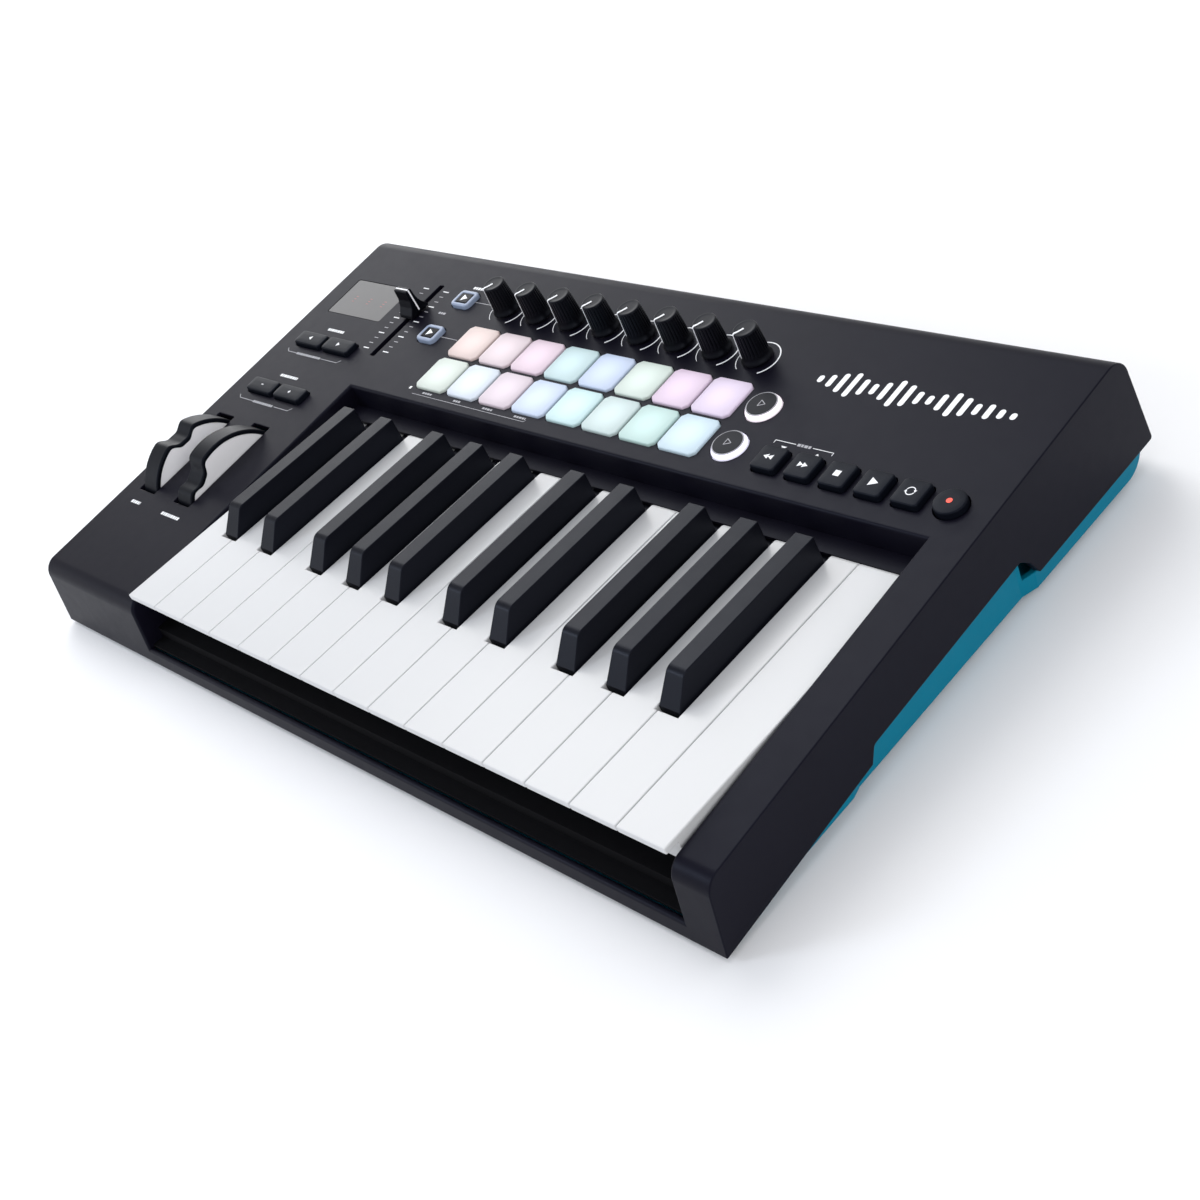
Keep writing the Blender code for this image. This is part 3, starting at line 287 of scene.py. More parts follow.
FAINT = surface("print_grey", (0.36, 0.36, 0.39), 0.5, depth=0.0, spread=0.05)
ICON = surface("icon_white", (0.88, 0.89, 0.92), 0.5, depth=0.0, spread=0.02)
RED = surface("icon_red", (0.85, 0.06, 0.03), 0.45, depth=0.0, spread=0.05,
              Emission_Color=(0.9, 0.08, 0.04, 1.0), Emission_Strength=0.35)
DIM_RED = surface("display_red", (0.20, 0.05, 0.05), 0.4, depth=0.0, spread=0.05,
                  Emission_Color=(0.5, 0.05, 0.05, 1.0), Emission_Strength=0.08)
WINDOW = surface("display_smoke", (0.024, 0.024, 0.028), 0.30, depth=0.002 * MM, spread=0.05)
FRAME_BLUE = surface("frame_blue", (0.24, 0.29, 0.40), 0.3, depth=0.004 * MM, spread=0.05,
                     Emission_Color=(0.25, 0.33, 0.48, 1.0), Emission_Strength=0.08)
FOOT = surface("foot_rubber", (0.012, 0.012, 0.013), 0.8, grain=0.6 * MM, depth=0.05 * MM)
STEEL = surface("plated_steel", (0.42, 0.43, 0.45), 0.3, depth=0.004 * MM, Metallic=1.0)
SCREW = surface("screw_black", (0.05, 0.05, 0.055), 0.35, depth=0.004 * MM, Metallic=0.9)
CHASSIS = surface("chassis_black", (0.0025, 0.0025, 0.0035), 0.8, Specular_IOR_Level=0.1)
BOARD = surface("board_black", (0.004, 0.006, 0.005), 0.5, depth=0.02 * MM, Specular_IOR_Level=0.2)
GOLD = surface("contact_gold", (0.75, 0.5, 0.18), 0.25, depth=0.002 * MM, Metallic=1.0)


# ---- Outlines ----
def rounded(points, radii, segments=10):
    """A polygon with the corners that have a radius turned into arcs."""
    outline = []
    count = len(points)
    for index in range(count):
        corner = Vector(points[index])
        radius = radii[index]
        if radius <= 0.0:
            outline.append(tuple(corner))
            continue
        before = (Vector(points[index - 1]) - corner).normalized()
        after = (Vector(points[(index + 1) % count]) - corner).normalized()
        half = before.angle(after) / 2
        centre = corner + (before + after).normalized() * (radius / math.sin(half))
        start = corner + before * (radius / math.tan(half)) - centre
        end = corner + after * (radius / math.tan(half)) - centre
        for step in range(segments + 1):
            part = step / segments
            spoke = (start * (1 - part) + end * part).normalized() * radius
            outline.append(tuple(centre + spoke))
    return outline


def rectangle(width, length, corner=0.0, segments=6):
    """A centred rectangle with rounded corners."""
    x = width / 2
    y = length / 2
    return rounded([(-x, -y), (x, -y), (x, y), (-x, y)], [corner] * 4, segments)


def rectangles(width, length, corner, share=1.0, least=0.0):
    """A function of growth for add_stack: rectangles whose corners take a share of it."""
    return lambda g: rectangle(width + 2 * g, length + 2 * g, max(corner + share * g, least))


def chamfered(width, length, cut, corner=0.6 * MM):
    """A centred rectangle with its corners cut off and softened."""
    x = width / 2
    y = length / 2
    points = [(-x + cut, -y), (x - cut, -y), (x, -y + cut), (x, y - cut),
              (x - cut, y), (-x + cut, y), (-x, y - cut), (-x, -y + cut)]
    return rounded(points, [corner] * 8, 3)


def circle(radius, segments=48):
    """A regular polygon round the origin."""
    turn = 2 * math.pi / segments
    return [(radius * math.cos(turn * i), radius * math.sin(turn * i)) for i in range(segments)]


def circles(radius, segments=48):
    """A function of growth for add_stack: circles."""
    return lambda g: circle(radius + g, segments)


def polygon(points):
    """Points in millimetres as an outline in metres."""
    return [(a * MM, b * MM) for a, b in points]


def moved(outline, x, y):
    """An outline shifted to a place."""
    return [(x + a, y + b) for a, b in outline]


# ---- Solids ----
def add_rings(bm, rings, closed=True):
    """Join rings of equal length, from the first to the last, and close both ends."""
    made = [[bm.verts.new(point) for point in ring] for ring in rings]
    count = len(made[0])
    for lower, upper in zip(made, made[1:]):
        for index in range(count):
            following = (index + 1) % count
            bm.faces.new((lower[index], lower[following], upper[following], upper[index]))
    if closed:
        bm.faces.new(list(reversed(made[0])))
        bm.faces.new(made[-1])
    return made


def add_prism(bm, outline, low, high, axis="Z"):
    """Extrude an outline between two levels along an axis."""
    order = {"X": lambda a, b, c: (c, a, b), "Z": lambda a, b, c: (a, b, c)}[axis]
    add_rings(bm, [[order(a, b, low) for a, b in outline],
                   [order(a, b, high) for a, b in outline]])


def add_box(bm, low, high):
    """Add a closed box between two corners."""
    outline = [(low[0], low[1]), (high[0], low[1]), (high[0], high[1]), (low[0], high[1])]
    add_prism(bm, outline, low[2], high[2])


def add_turned(bm, profile, segments=64):
    """Turn a profile of (radius, height) about Z."""
    add_stack(bm, circles(0.0, segments), profile)


def mesh_of(add, *details):
    """A new mesh filled by one of the functions above."""
    bm = bmesh.new()
    add(bm, *details)
    return bm


def add_stack(bm, shape, sections):
    """Stack outlines: shape(grow) gives each one, sections lists (grow, height)."""
    add_rings(bm, [[(x, y, height) for x, y in shape(grow)] for grow, height in sections])


def crowned(low, top, edge, crown, steps=5):
    """Sections of a cap: straight sides, a rounded edge, then a slightly domed top."""
    sections = [(0.0, low), (0.0, top - crown - edge)]
    for step in range(1, steps + 1):
        turn = math.pi / 2 * step / steps
        sections.append((-edge * (1 - math.cos(turn)), top - crown - edge * (1 - math.sin(turn))))
    for step in range(1, steps):
        part = step / steps
        sections.append((-edge - part * 3.0 * MM, top - crown * (1 - part) ** 2))
    return sections


def make(name, bm, material, matrix=None):
    """Turn the faces outward and hand the mesh over as an object placed by a matrix."""
    bmesh.ops.recalc_face_normals(bm, faces=bm.faces)
    mesh = bpy.data.meshes.new(name)
    bm.to_mesh(mesh)
    bm.free()
    piece = bpy.data.objects.new(name, mesh)
    bpy.context.scene.collection.objects.link(piece)
    if matrix is not None:
        piece.matrix_world = matrix
    if material is not None:
        mesh.materials.append(material)
    soften(mesh)
    return piece


def soften(mesh, angle=32):
    """Smooth shading with sharp edges where the form turns."""
    mesh.shade_smooth()
    mesh.set_sharp_from_angle(angle=math.radians(angle))


def combine(piece, bm, operation="DIFFERENCE", matrix=None):
    """Cut or join the solid in bm, placed by a matrix, into a piece."""
    if matrix is not None:
        bmesh.ops.transform(bm, matrix=matrix, verts=bm.verts)
    tool = make("tool", bm, None)
    modifier = piece.modifiers.new("combine", "BOOLEAN")
    modifier.operation = operation
    modifier.solver = "EXACT"
    modifier.object = tool
    depsgraph = bpy.context.evaluated_depsgraph_get()
    result = bpy.data.meshes.new_from_object(piece.evaluated_get(depsgraph))
    piece.modifiers.remove(modifier)
    previous = piece.data
    piece.data = result
    bpy.data.meshes.remove(previous)
    bpy.data.objects.remove(tool)


def cut_prism(piece, outline, low, high, axis="Z", matrix=None):
    """Cut one extruded outline out of a piece."""
    combine(piece, mesh_of(add_prism, outline, low, high, axis), "DIFFERENCE", matrix)


def round_edges(piece, radius, test, segments=3, least=30):
    """Round the convex edges that pass a test on their two ends."""
    bm = bmesh.new()
    bm.from_mesh(piece.data)
    bmesh.ops.remove_doubles(bm, verts=bm.verts, dist=0.002 * MM)
    edges = [edge for edge in bm.edges
             if len(edge.link_faces) == 2
             and edge.calc_face_angle_signed(0.0) > math.radians(least)
             and test(edge.verts[0].co, edge.verts[1].co)]
    bmesh.ops.bevel(bm, geom=edges, offset=radius, offset_type="OFFSET", segments=segments,
                    profile=0.5, affect="EDGES", clamp_overlap=True)
    bm.to_mesh(piece.data)
    bm.free()
    soften(piece.data)


def place(piece, body, *nodes):
    """Let a piece ride on a body and stand for CAD nodes, its broad faces shaded flat."""
    shading = piece.modifiers.new("shading", "WEIGHTED_NORMAL")
    shading.keep_sharp = True
    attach(piece, body)
    if nodes:
        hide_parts(*nodes)
    return piece


def on_panel(x, run, height=0.0):
    """The panel's frame moved to a spot on it."""
    return PANEL @ Matrix.Translation((x, run, height))


# ---- Case ----
def leaning_wall_y(z, lean, foot):
    """Y where a leaning wall through foot reaches a height."""
    return foot[0] + lean * (z - foot[1])


def panel_crossing(foot, lean):
    """The (y, z) point where a leaning wall through foot meets the panel surface."""
    slope = math.tan(TILT)
    z = (PANEL_Z + slope * (foot[0] - lean * foot[1] - KEY_FRONT_Y)) / (1 - slope * lean)
    return (leaning_wall_y(z, lean, foot), z)


def case_outline():
    """The side view of the case."""
    front_foot = (FRONT_Y, UNDERSIDE_Z)
    rear_foot = (REAR_Y, REAR_FOOT_Z)
    under = [(183.8, -29.8, 0.0), (179.4, -21.6, 3.0), (174.7, -17.6, 2.0),
             (81.7, -22.7, 2.0), (78.1, -29.2, 0.0)]
    points = [front_foot, panel_crossing(front_foot, FRONT_LEAN),
              panel_crossing(rear_foot, -REAR_LEAN), rear_foot]
    points += [(key_y(y * MM), key_z(z * MM)) for y, z, _radius in under]
    radii = [0.0, 8.0 * MM, 10.0 * MM, 1.5 * MM] + [radius * MM for _y, _z, radius in under]
    return rounded(points, radii, 12)


def cut_well(case):
    """Open the key well, leaving the front rail and the shelf over the key tails."""
    inner = FRONT_Y + SIDE_WALL + 0.9 * MM
    top = key_z(RAIL_TOP)
    wall_top = PANEL_Z + WELL_BACK * math.tan(TILT)
    above = [(FRONT_Y - FAR, FAR), (FRONT_Y - FAR, top), (inner, top), (inner, -FAR),
             (key_y(SHELF_FRONT), -FAR), (key_y(SHELF_FRONT), key_z(SHELF_TOP)),
             (key_y(WELL_BACK - MM), key_z(SHELF_TOP)), (key_y(WELL_BACK), wall_top),
             (key_y(WELL_BACK), FAR)]
    cut_prism(case, above, WELL[0], WELL[1], "X")
    tails = [(key_y(SHELF_FRONT) - MM, -FAR), (key_y(SHELF_FRONT) - MM, key_z(SHELF_UNDER)),
             (key_y(WELL_BACK + 5 * MM), key_z(SHELF_UNDER)), (key_y(WELL_BACK + 5 * MM), -FAR)]
    cut_prism(case, tails, WELL[0], WELL[1], "X")


def round_case(case):
    """Soften the well's lip, the rail, the cheeks' inner edges and the two end outlines."""
    low = key_z(RAIL_TOP) - MM
    near = 0.2 * MM

    def inside(a, b):
        within = all(WELL[0] - near < p.x < WELL[1] + near for p in (a, b))
        return within and a.z > low and b.z > low and a.y < key_y(WELL_BACK) + near \
            and b.y < key_y(WELL_BACK) + near and not shelf(a, b)

    def shelf(a, b):
        return all(p.z < key_z(SHELF_TOP) + near and p.y > key_y(SHELF_FRONT) - 2 * MM
                   for p in (a, b))

    def ends(a, b):
        return all(abs(abs(p.x) - HALF_WIDTH) < near for p in (a, b))

    round_edges(case, 1.8 * MM, inside, 5)
    round_edges(case, 0.55 * MM, ends, 3)


def hollow_case(case):
    """Hollow out both cheeks and the space behind the keys."""
    outer = HALF_WIDTH - SIDE_WALL
    top = PANEL_THICKNESS / math.cos(TILT)
    first = key_y(WELL_BACK + WELL_WALL)
    rear_foot = (REAR_Y - SIDE_WALL, REAR_FOOT_Z)
    rear_top = panel_crossing(rear_foot, -REAR_LEAN)
    slope = math.tan(TILT)
    rear = [(first, -FAR), (first, PANEL_Z + (first - KEY_FRONT_Y) * slope - top),
            (rear_top[0], rear_top[1] - top), (leaning_wall_y(-FAR, -REAR_LEAN, rear_foot), -FAR)]
    cut_prism(case, rounded(rear, [0.0, 0.0, 7.0 * MM, 0.0]), -outer, outer, "X")
    front_foot = (FRONT_Y + SIDE_WALL + 0.4 * MM, UNDERSIDE_Z)
    front_top = panel_crossing(front_foot, FRONT_LEAN)
    back = key_y(WELL_BACK + 5 * MM)
    cheek = [(front_foot[0], -FAR), front_foot, (front_top[0], front_top[1] - top),
             (back, PANEL_Z + (back - KEY_FRONT_Y) * slope - top), (back, -FAR)]
    cheek = rounded(cheek, [0.0, 0.0, 5.5 * MM, 0.0, 0.0])
    cut_prism(case, cheek, -outer, WELL[0] - WELL_WALL, "X")
    cut_prism(case, cheek, WELL[1] + WELL_WALL, outer, "X")
    combine(case, mesh_of(add_box, (-outer, FRONT_Y + SIDE_WALL + 0.9 * MM, -FAR),
                          (outer, key_y(WELL_BACK) + MM, key_z(RAIL_TOP) - 0.8 * MM)))


def flared(rim):
    """Sections of a hole's cutter that leave a rounded rim at the panel surface."""
    sections = [(0.0, -CUTTER_REACH), (0.0, -rim)]
    for step in range(1, 4):
        turn = math.pi / 6 * step
        sections.append((rim * (1 - math.cos(turn)), -rim * (1 - math.sin(turn)) + 0.01 * MM))
    return sections + [(rim, CUTTER_REACH)]


def cut_openings(case, spots, shape, rim=0.35 * MM):
    """Cut the same opening at several spots on the panel, each with a rounded rim."""
    bm = bmesh.new()
    for spot in spots:
        add_stack(bm, lambda grow: moved(shape(grow), *spot), flared(rim))
    combine(case, bm, "DIFFERENCE", PANEL)


def pierce_case(case):
    """Cut the panel's openings, one kind after another."""
    cut_openings(case, pad_spots(), lambda g: chamfered(
        PAD_SIZE[0] + PAD_GAP + 2 * g, PAD_SIZE[1] + PAD_GAP + 2 * g, PAD_CHAMFER), 0.2 * MM)
    knobs = [panel_spot(node)[:2] for node in KNOBS]
    cut_openings(case, knobs, circles(SHAFT_HOLE, 32))
    cut_openings(case, [(from_keys(FADER_X), FADER_MIDDLE)], rectangles(*FADER_SLOT, 0.8 * MM))
    for nodes in (RUBBER_CAPS[:4], RUBBER_CAPS[4:], FRAMED_BUTTONS):
        spots = [panel_spot(node)[:2] for node in nodes]
        _x, _run, _top, width, length, corner = cap_size(nodes[0])
        cut_openings(case, spots, rectangles(
            width + 2 * OPENING_GAP, length + 2 * OPENING_GAP, corner + OPENING_GAP))
    for node in SCENE_BUTTONS + ("record_button",):
        x, run, _top, width, _length, _corner = cap_size(node)
        cut_openings(case, [(x, run)], circles(width / 2 + OPENING_GAP))
    wheels = [(panel_spot(node)[0], WHEEL_RUN) for node in WHEELS]
    cut_openings(case, wheels, rectangles(*WHEEL_OPENING, 0.7 * MM), 0.45 * MM)
    low, high = panel_box("display_window")
    middle = ((low.x + high.x) / 2, (low.y + high.y) / 2)
    size = (high.x - low.x + 0.6 * MM, high.y - low.y + 0.6 * MM)
    for grow, corner, depths in ((-2.4 * MM, 0.0, (-CUTTER_REACH, -1.0 * MM)),
                                 (0.0, 1.6 * MM, (-1.6 * MM, CUTTER_REACH))):
        outline = moved(rectangle(size[0] + grow, size[1] + grow, corner), *middle)
        cut_prism(case, outline, *depths, "Z", PANEL)


def cut_sockets(case):
    """Open the rear wall for the two sockets and the lock slot."""
    turn = Matrix.Rotation(math.radians(90), 4, "X")
    for x, outline in ((USB_X, rectangle(13 * MM, 12 * MM, 0.8 * MM)),
                       (PEDAL_X, circle(5.0 * MM)),
                       (LOCK_X, rectangle(8 * MM, 4.2 * MM, 1.6 * MM))):
        spot = Matrix.Translation((from_keys(x), REAR_Y, SOCKET_Z)) @ turn
        cut_prism(case, outline, -10 * MM, 16 * MM, "Z", spot)


def build_case():
    """The charcoal top: panel, rear wall, front rail and flat end cheeks."""
    form = mesh_of(add_prism, case_outline(), -HALF_WIDTH, HALF_WIDTH, "X")
    case = make("case_cover", form, CASE)
    cut_well(case)
    round_case(case)
    hollow_case(case)
    pierce_case(case)
    cut_sockets(case)
    soften(case.data)
    place(case, "case", "top_cover")


# ---- Tray, feet and screws ----
def tray_outline(inset):
    """The tray's plan: three widths that step outward towards the rear."""
    front = KEY_FRONT_Y - 3.5 * MM + inset
    rear = key_y(TRAY_END) - inset
    steps = ((3.6 * MM, front), (3.6 * MM, key_y(68 * MM)), (5.0 * MM, key_y(73 * MM)),
             (5.0 * MM, key_y(176 * MM)), (2.4 * MM, key_y(183 * MM)), (2.4 * MM, rear))
    right = [(HALF_WIDTH - back - inset, y) for back, y in steps]
    return rounded(right + [(-x, y) for x, y in reversed(right)],
                   [0.0] + [2.0 * MM] * 4 + [0.0] * 2 + [2.0 * MM] * 4 + [0.0], 4)


def build_tray():
    """The teal tray: low walls, a rounded rear edge and six counterbored screw holes."""
    floor = UNDERSIDE_Z + TRAY_WALL
    form = mesh_of(add_prism, tray_outline(0.0), UNDERSIDE_Z, key_z(-14 * MM))
    tray = make("tray_shell", form, TEAL)
    wide = 4 * FAR
    rear_wall = REAR_FOOT_Z - 0.5 * MM
    above = [(-FAR, 5.0 * MM), (2.5 * MM, 5.0 * MM), (2.5 * MM, 14 * MM), (79 * MM, 14 * MM),
             (79 * MM, 50 * MM), (178 * MM, 50 * MM), (178 * MM, 9.7 * MM),
             (TRAY_END, rear_wall), (3 * FAR, rear_wall), (3 * FAR, FAR), (-FAR, FAR)]
    cut_prism(tray, [(key_y(y), z) for y, z in above], -wide, wide, "X")
    corner = key_y(TRAY_END)
    centre = (corner - TRAY_ROUND, UNDERSIDE_Z + TRAY_ROUND)
    sweep = [(centre[0] + TRAY_ROUND * math.sin(math.radians(a)),
              centre[1] - TRAY_ROUND * math.cos(math.radians(a))) for a in range(0, 91, 6)]
    edge = [(centre[0], -MM), (corner + 5 * MM, -MM), (corner + 5 * MM, centre[1])]
    cut_prism(tray, sweep + edge[::-1], -wide, wide, "X")
    round_edges(tray, 0.7 * MM, lambda a, b: max(a.z, b.z) < REAR_FOOT_Z + 20 * MM)
    cut_prism(tray, tray_outline(TRAY_WALL), floor, FAR)
    for radius, low, high in ((1.8 * MM, -MM, floor + MM),
                              (3.4 * MM, -MM, UNDERSIDE_Z + 1.2 * MM)):
        bm = bmesh.new()
        for x, y in SCREWS:
            add_prism(bm, moved(circle(radius, 32), from_keys(x), key_y(y * MM)), low, high)
        combine(tray, bm)
    soften(tray.data)
    place(tray, "case", "bottom_tray")


def build_screws():
    """Six cross-head screws sunk in the tray."""
    profile = polygon([(1.6, 3.5), (1.6, 1.0), (3.0, 0.9), (3.0, 0.45), (2.6, 0.1), (1.6, 0.0)])
    for number, (x, y) in enumerate(SCREWS, start=1):
        screw = make(f"tray_screw_{number}", mesh_of(add_turned, profile, 32), SCREW)
        for a, b in ((0.35 * MM, 1.7 * MM), (1.7 * MM, 0.35 * MM)):
            combine(screw, mesh_of(add_box, (-a, -b, -MM), (a, b, 0.5 * MM)))
        soften(screw.data)
        spot = (from_keys(x), key_y(y * MM), UNDERSIDE_Z + 0.2 * MM)
        screw.matrix_world = Matrix.Translation(spot)
        place(screw, "case")


def build_feet():
    """Two rubber strips with a softened lower edge."""
    for node in ("front_foot", "rear_foot"):
        low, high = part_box(node)
        sections = [(0.0, high.z - low.z), (0.0, 0.5 * MM), (-0.15 * MM, 0.15 * MM),
                    (-0.5 * MM, 0.0)]
        shape = rectangles(high.x - low.x, high.y - low.y, 4 * MM)
        foot = make(node + "_strip", mesh_of(add_stack, shape, sections), FOOT)
        foot.matrix_world = Matrix.Translation(((low.x + high.x) / 2, (low.y + high.y) / 2,
                                                low.z))
        place(foot, "case", node)


# ---- Keys ----
BLACK_KEYS = [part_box(f"black_key_{number:02d}") for number in range(1, 11)]


def necks(left, right):
    """Left and right side of a white key's narrow part, beside the black keys."""
    neck_left = left
    neck_right = right
    for low, high in BLACK_KEYS:
        if left < high.x + BLACK_SIDE_GAP < right:
            neck_left = high.x + BLACK_SIDE_GAP
        if left < low.x - BLACK_SIDE_GAP < right:
            neck_right = low.x - BLACK_SIDE_GAP
    return neck_left, neck_right


def key_plan(front, neck, start, step, end):
    """Plan of a strip that narrows from the front width to the neck width."""
    outline = [(front[0], start), (front[1], start)]
    if neck[1] < front[1] - 0.3 * MM:
        outline += [(front[1], step), (neck[1], step)]
    outline += [(neck[1], end), (neck[0], end)]
    if neck[0] > front[0] + 0.3 * MM:
        outline += [(neck[0], step), (front[0], step)]
    return outline


def build_white_key(number):
    """A white key with a rounded lip, soft edges and its notches."""
    node = f"white_key_{number:02d}"
    low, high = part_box(node)
    low.x -= SEAM_FILL
    high.x += SEAM_FILL
    side = [(0.0, 0.0), (0.0, -WHITE_LIP), (WHITE_OVERHANG, -WHITE_LIP),
            (WHITE_OVERHANG, -WHITE_DEPTH), (TAIL_BODY_END, -WHITE_DEPTH),
            (TAIL_BODY_END, TAIL_UNDER), (TAIL_END, TAIL_UNDER),
            (TAIL_END, TAIL_TOP), (WHITE_LENGTH, TAIL_TOP), (WHITE_LENGTH, 0.0)]
    outline = [(key_y(y), key_z(z)) for y, z in side]
    key = make(f"ivory_{number:02d}", mesh_of(add_prism, outline, low.x, high.x, "X"), WHITE)
    neck = necks(low.x, high.x)
    step = key_y(BLACK_FRONT - NOTCH_GAP)
    bm = bmesh.new()
    if neck[0] > low.x:
        add_box(bm, (low.x - MM, step, 0.0), (neck[0], FAR, FAR))
    if neck[1] < high.x:
        add_box(bm, (neck[1], step, 0.0), (high.x + MM, FAR, FAR))
    combine(key, bm)
    back = key_y(WHITE_LENGTH)
    near = 0.01 * MM

    def rear_end(a, b):
        return all(abs(p.y - back) < near and p.z > KEY_TOP_Z - near for p in (a, b))

    round_edges(key, 2.2 * MM, rear_end, 5)
    round_edges(key, 0.55 * MM, lambda a, b: max(a.z, b.z) > key_z(-WHITE_LIP) - near, 3, 50)
    wall = WHITE_WALL
    inside = key_plan((low.x + wall, high.x - wall), (neck[0] + wall, neck[1] - wall),
                      key_y(WHITE_OVERHANG + wall), step - wall, back - 2 * wall)
    cut_prism(key, inside, key_z(-WHITE_DEPTH) - MM, key_z(-2.6 * MM))
    soften(key.data)
    place(key, node, node)


def build_black_key(number):
    """A black key: sloping front, tapered sides and generously rounded upper edges."""
    node = f"black_key_{number:02d}"
    low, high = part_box(node)
    half = (high.x - low.x) / 2
    nose = BLACK_FRONT + BLACK_SETBACK
    side = [(BLACK_FRONT, -BLACK_DEPTH), (TAIL_BODY_END, -BLACK_DEPTH),
            (TAIL_BODY_END, TAIL_UNDER), (TAIL_END, TAIL_UNDER),
            (TAIL_END, TAIL_TOP), (BLACK_REAR, TAIL_TOP), (BLACK_REAR, 0.0),
            (BLACK_REAR, BLACK_HEIGHT), (nose, BLACK_HEIGHT), (BLACK_FRONT, 0.0)]
    outline = rounded([(key_y(y), key_z(z)) for y, z in side],
                      [BLACK_NOSE if y == nose else 0.0 for y, _z in side], 6)
    bm = mesh_of(add_prism, outline, -half, half, "X")
    for vertex in bm.verts:
        part = min(1.0, max(0.0, (vertex.co.z - KEY_TOP_Z) / BLACK_HEIGHT))
        vertex.co.x *= 1 - (1 - BLACK_TAPER) * part
    key = make(f"ebony_{number:02d}", bm, BLACK)
    round_edges(key, 1.2 * MM, lambda a, b: max(a.z, b.z) > KEY_TOP_Z + 2 * MM, 5, 40)
    soften(key.data)
    key.matrix_world = Matrix.Translation(((low.x + high.x) / 2, 0.0, 0.0))
    place(key, node, node)


# ---- Pads ----
PAD_COLOURS = (
    # front row, then rear row, from the left
    (0.47, 0.52, 0.48), (0.49, 0.54, 0.61), (0.50, 0.43, 0.48), (0.42, 0.49, 0.62),
    (0.42, 0.57, 0.59), (0.42, 0.51, 0.51), (0.38, 0.52, 0.50), (0.43, 0.54, 0.61),
    (0.53, 0.43, 0.41), (0.52, 0.44, 0.47), (0.55, 0.44, 0.51), (0.39, 0.51, 0.53),
    (0.41, 0.48, 0.62), (0.47, 0.54, 0.50), (0.55, 0.44, 0.55), (0.54, 0.46, 0.58),
)


def pad_spots():
    """(x, run) of every pad's middle, front row first."""
    low, high = panel_box("pad_mat")
    margin = (PAD_SIZE[0] / 2 + 2.0 * MM, PAD_SIZE[1] / 2 + 2.0 * MM)
    for row in range(PAD_ROWS):
        for column in range(PAD_COLUMNS):
            across = column / (PAD_COLUMNS - 1)
            up = row / (PAD_ROWS - 1)
            yield (low.x + margin[0] + across * (high.x - low.x - 2 * margin[0]),
                   low.y + margin[1] + up * (high.y - low.y - 2 * margin[1]))


def build_pads():
    """Sixteen lit silicone pads, on the sheet that joins them under the panel."""
    low, high = panel_box("pad_mat")
    form = mesh_of(add_stack, rectangles(high.x - low.x, high.y - low.y, 2 * MM, 0.0),
                   [(0.0, low.z), (0.0, low.z + 1.7 * MM), (-0.3 * MM, low.z + 2.0 * MM)])
    middle = on_panel((low.x + high.x) / 2, (low.y + high.y) / 2)
    sheet = make("pad_sheet", form, surface("silicone_sheet", (0.55, 0.57, 0.6), 0.55), middle)
    place(sheet, "case", "pad_mat")
    shape = lambda g: chamfered(PAD_SIZE[0] + 2 * g, PAD_SIZE[1] + 2 * g, PAD_CHAMFER + 0.3 * g)
    sections = crowned(low.z + 2.1 * MM, high.z, 0.7 * MM, 0.35 * MM, 6)
    for number, (x, run) in enumerate(pad_spots(), start=1):
        lit = lit_surface(f"pad_light_{number:02d}", PAD_COLOURS[number - 1], PAD_GLOW,
                          PAD_SIZE[0] / 2)
        pad = make(f"pad_{number:02d}", mesh_of(add_stack, shape, sections), lit,
                   on_panel(x, run))
        place(pad, "case")


# ---- Knobs and fader ----
def knob_radius(height):
    """Radius of a knob's flank at a height above the panel."""
    if height < 4.4 * MM:
        part = max(0.0, (height - 1.6 * MM) / (2.8 * MM))
        return (7.2 - 0.9 * math.sin(part * math.pi / 2)) * MM
    return (6.3 - 0.7 * (height / MM - 4.4) / 11.8) * MM


def knob_mesh():
    """A tapered, fluted knob on a flared skirt, with its shaft."""
    profile = [(3.0 * MM, -3.0 * MM, 0.0), (3.0 * MM, 1.0 * MM, 0.0), (6.9 * MM, 1.0 * MM, 0.0)]
    for height in KNOB_HEIGHTS:
        groove = KNOB_GROOVE if 5.2 < height < 15.9 else 0.0
        profile.append((knob_radius(height * MM), height * MM, groove))
    profile += [(radius * MM, height * MM, 0.0) for radius, height in KNOB_TOP]
    rings = []
    for radius, height, groove in profile:
        ring = []
        for index in range(KNOB_SEGMENTS):
            turn = 2 * math.pi * index / KNOB_SEGMENTS
            dip = groove * (0.5 + 0.5 * math.cos(KNOB_FLUTES * turn)) ** 3
            ring.append(((radius - dip) * math.cos(turn), (radius - dip) * math.sin(turn),
                         height))
        rings.append(ring)
    return make("knob_form", mesh_of(add_rings, rings), KNOB)


def pointer_mesh():
    """The white ridge across a knob's top and down its flank."""
    half = 0.42 * MM
    proud = 0.16 * MM
    path = polygon([(0.3, 16.66), (3.0, 16.68), (4.6, 16.86), (5.3, 16.7), (5.6, 16.3)])
    for height in (15.0, 12.0, 9.0, 6.0, 4.6, 4.2):
        path.append((knob_radius(height * MM), height * MM))
    rings = []
    for index, (radius, height) in enumerate(path):
        ahead = path[min(index + 1, len(path) - 1)]
        behind = path[max(index - 1, 0)]
        along = Vector((ahead[0] - behind[0], ahead[1] - behind[1])).normalized()
        out = Vector((-along.y, along.x))
        if out.dot(Vector((radius, height - 9 * MM))) < 0:
            out = -out
        outer = Vector((radius, height)) + out * proud
        inner = Vector((radius, height)) - out * 0.5 * MM
        rings.append([(inner.x, -half, inner.y), (outer.x, -half, outer.y),
                      (outer.x + out.x * 0.05 * MM, 0.0, outer.y + out.y * 0.05 * MM),
                      (outer.x, half, outer.y), (inner.x, half, inner.y)])
    return make("pointer_form", mesh_of(add_rings, rings), ICON)


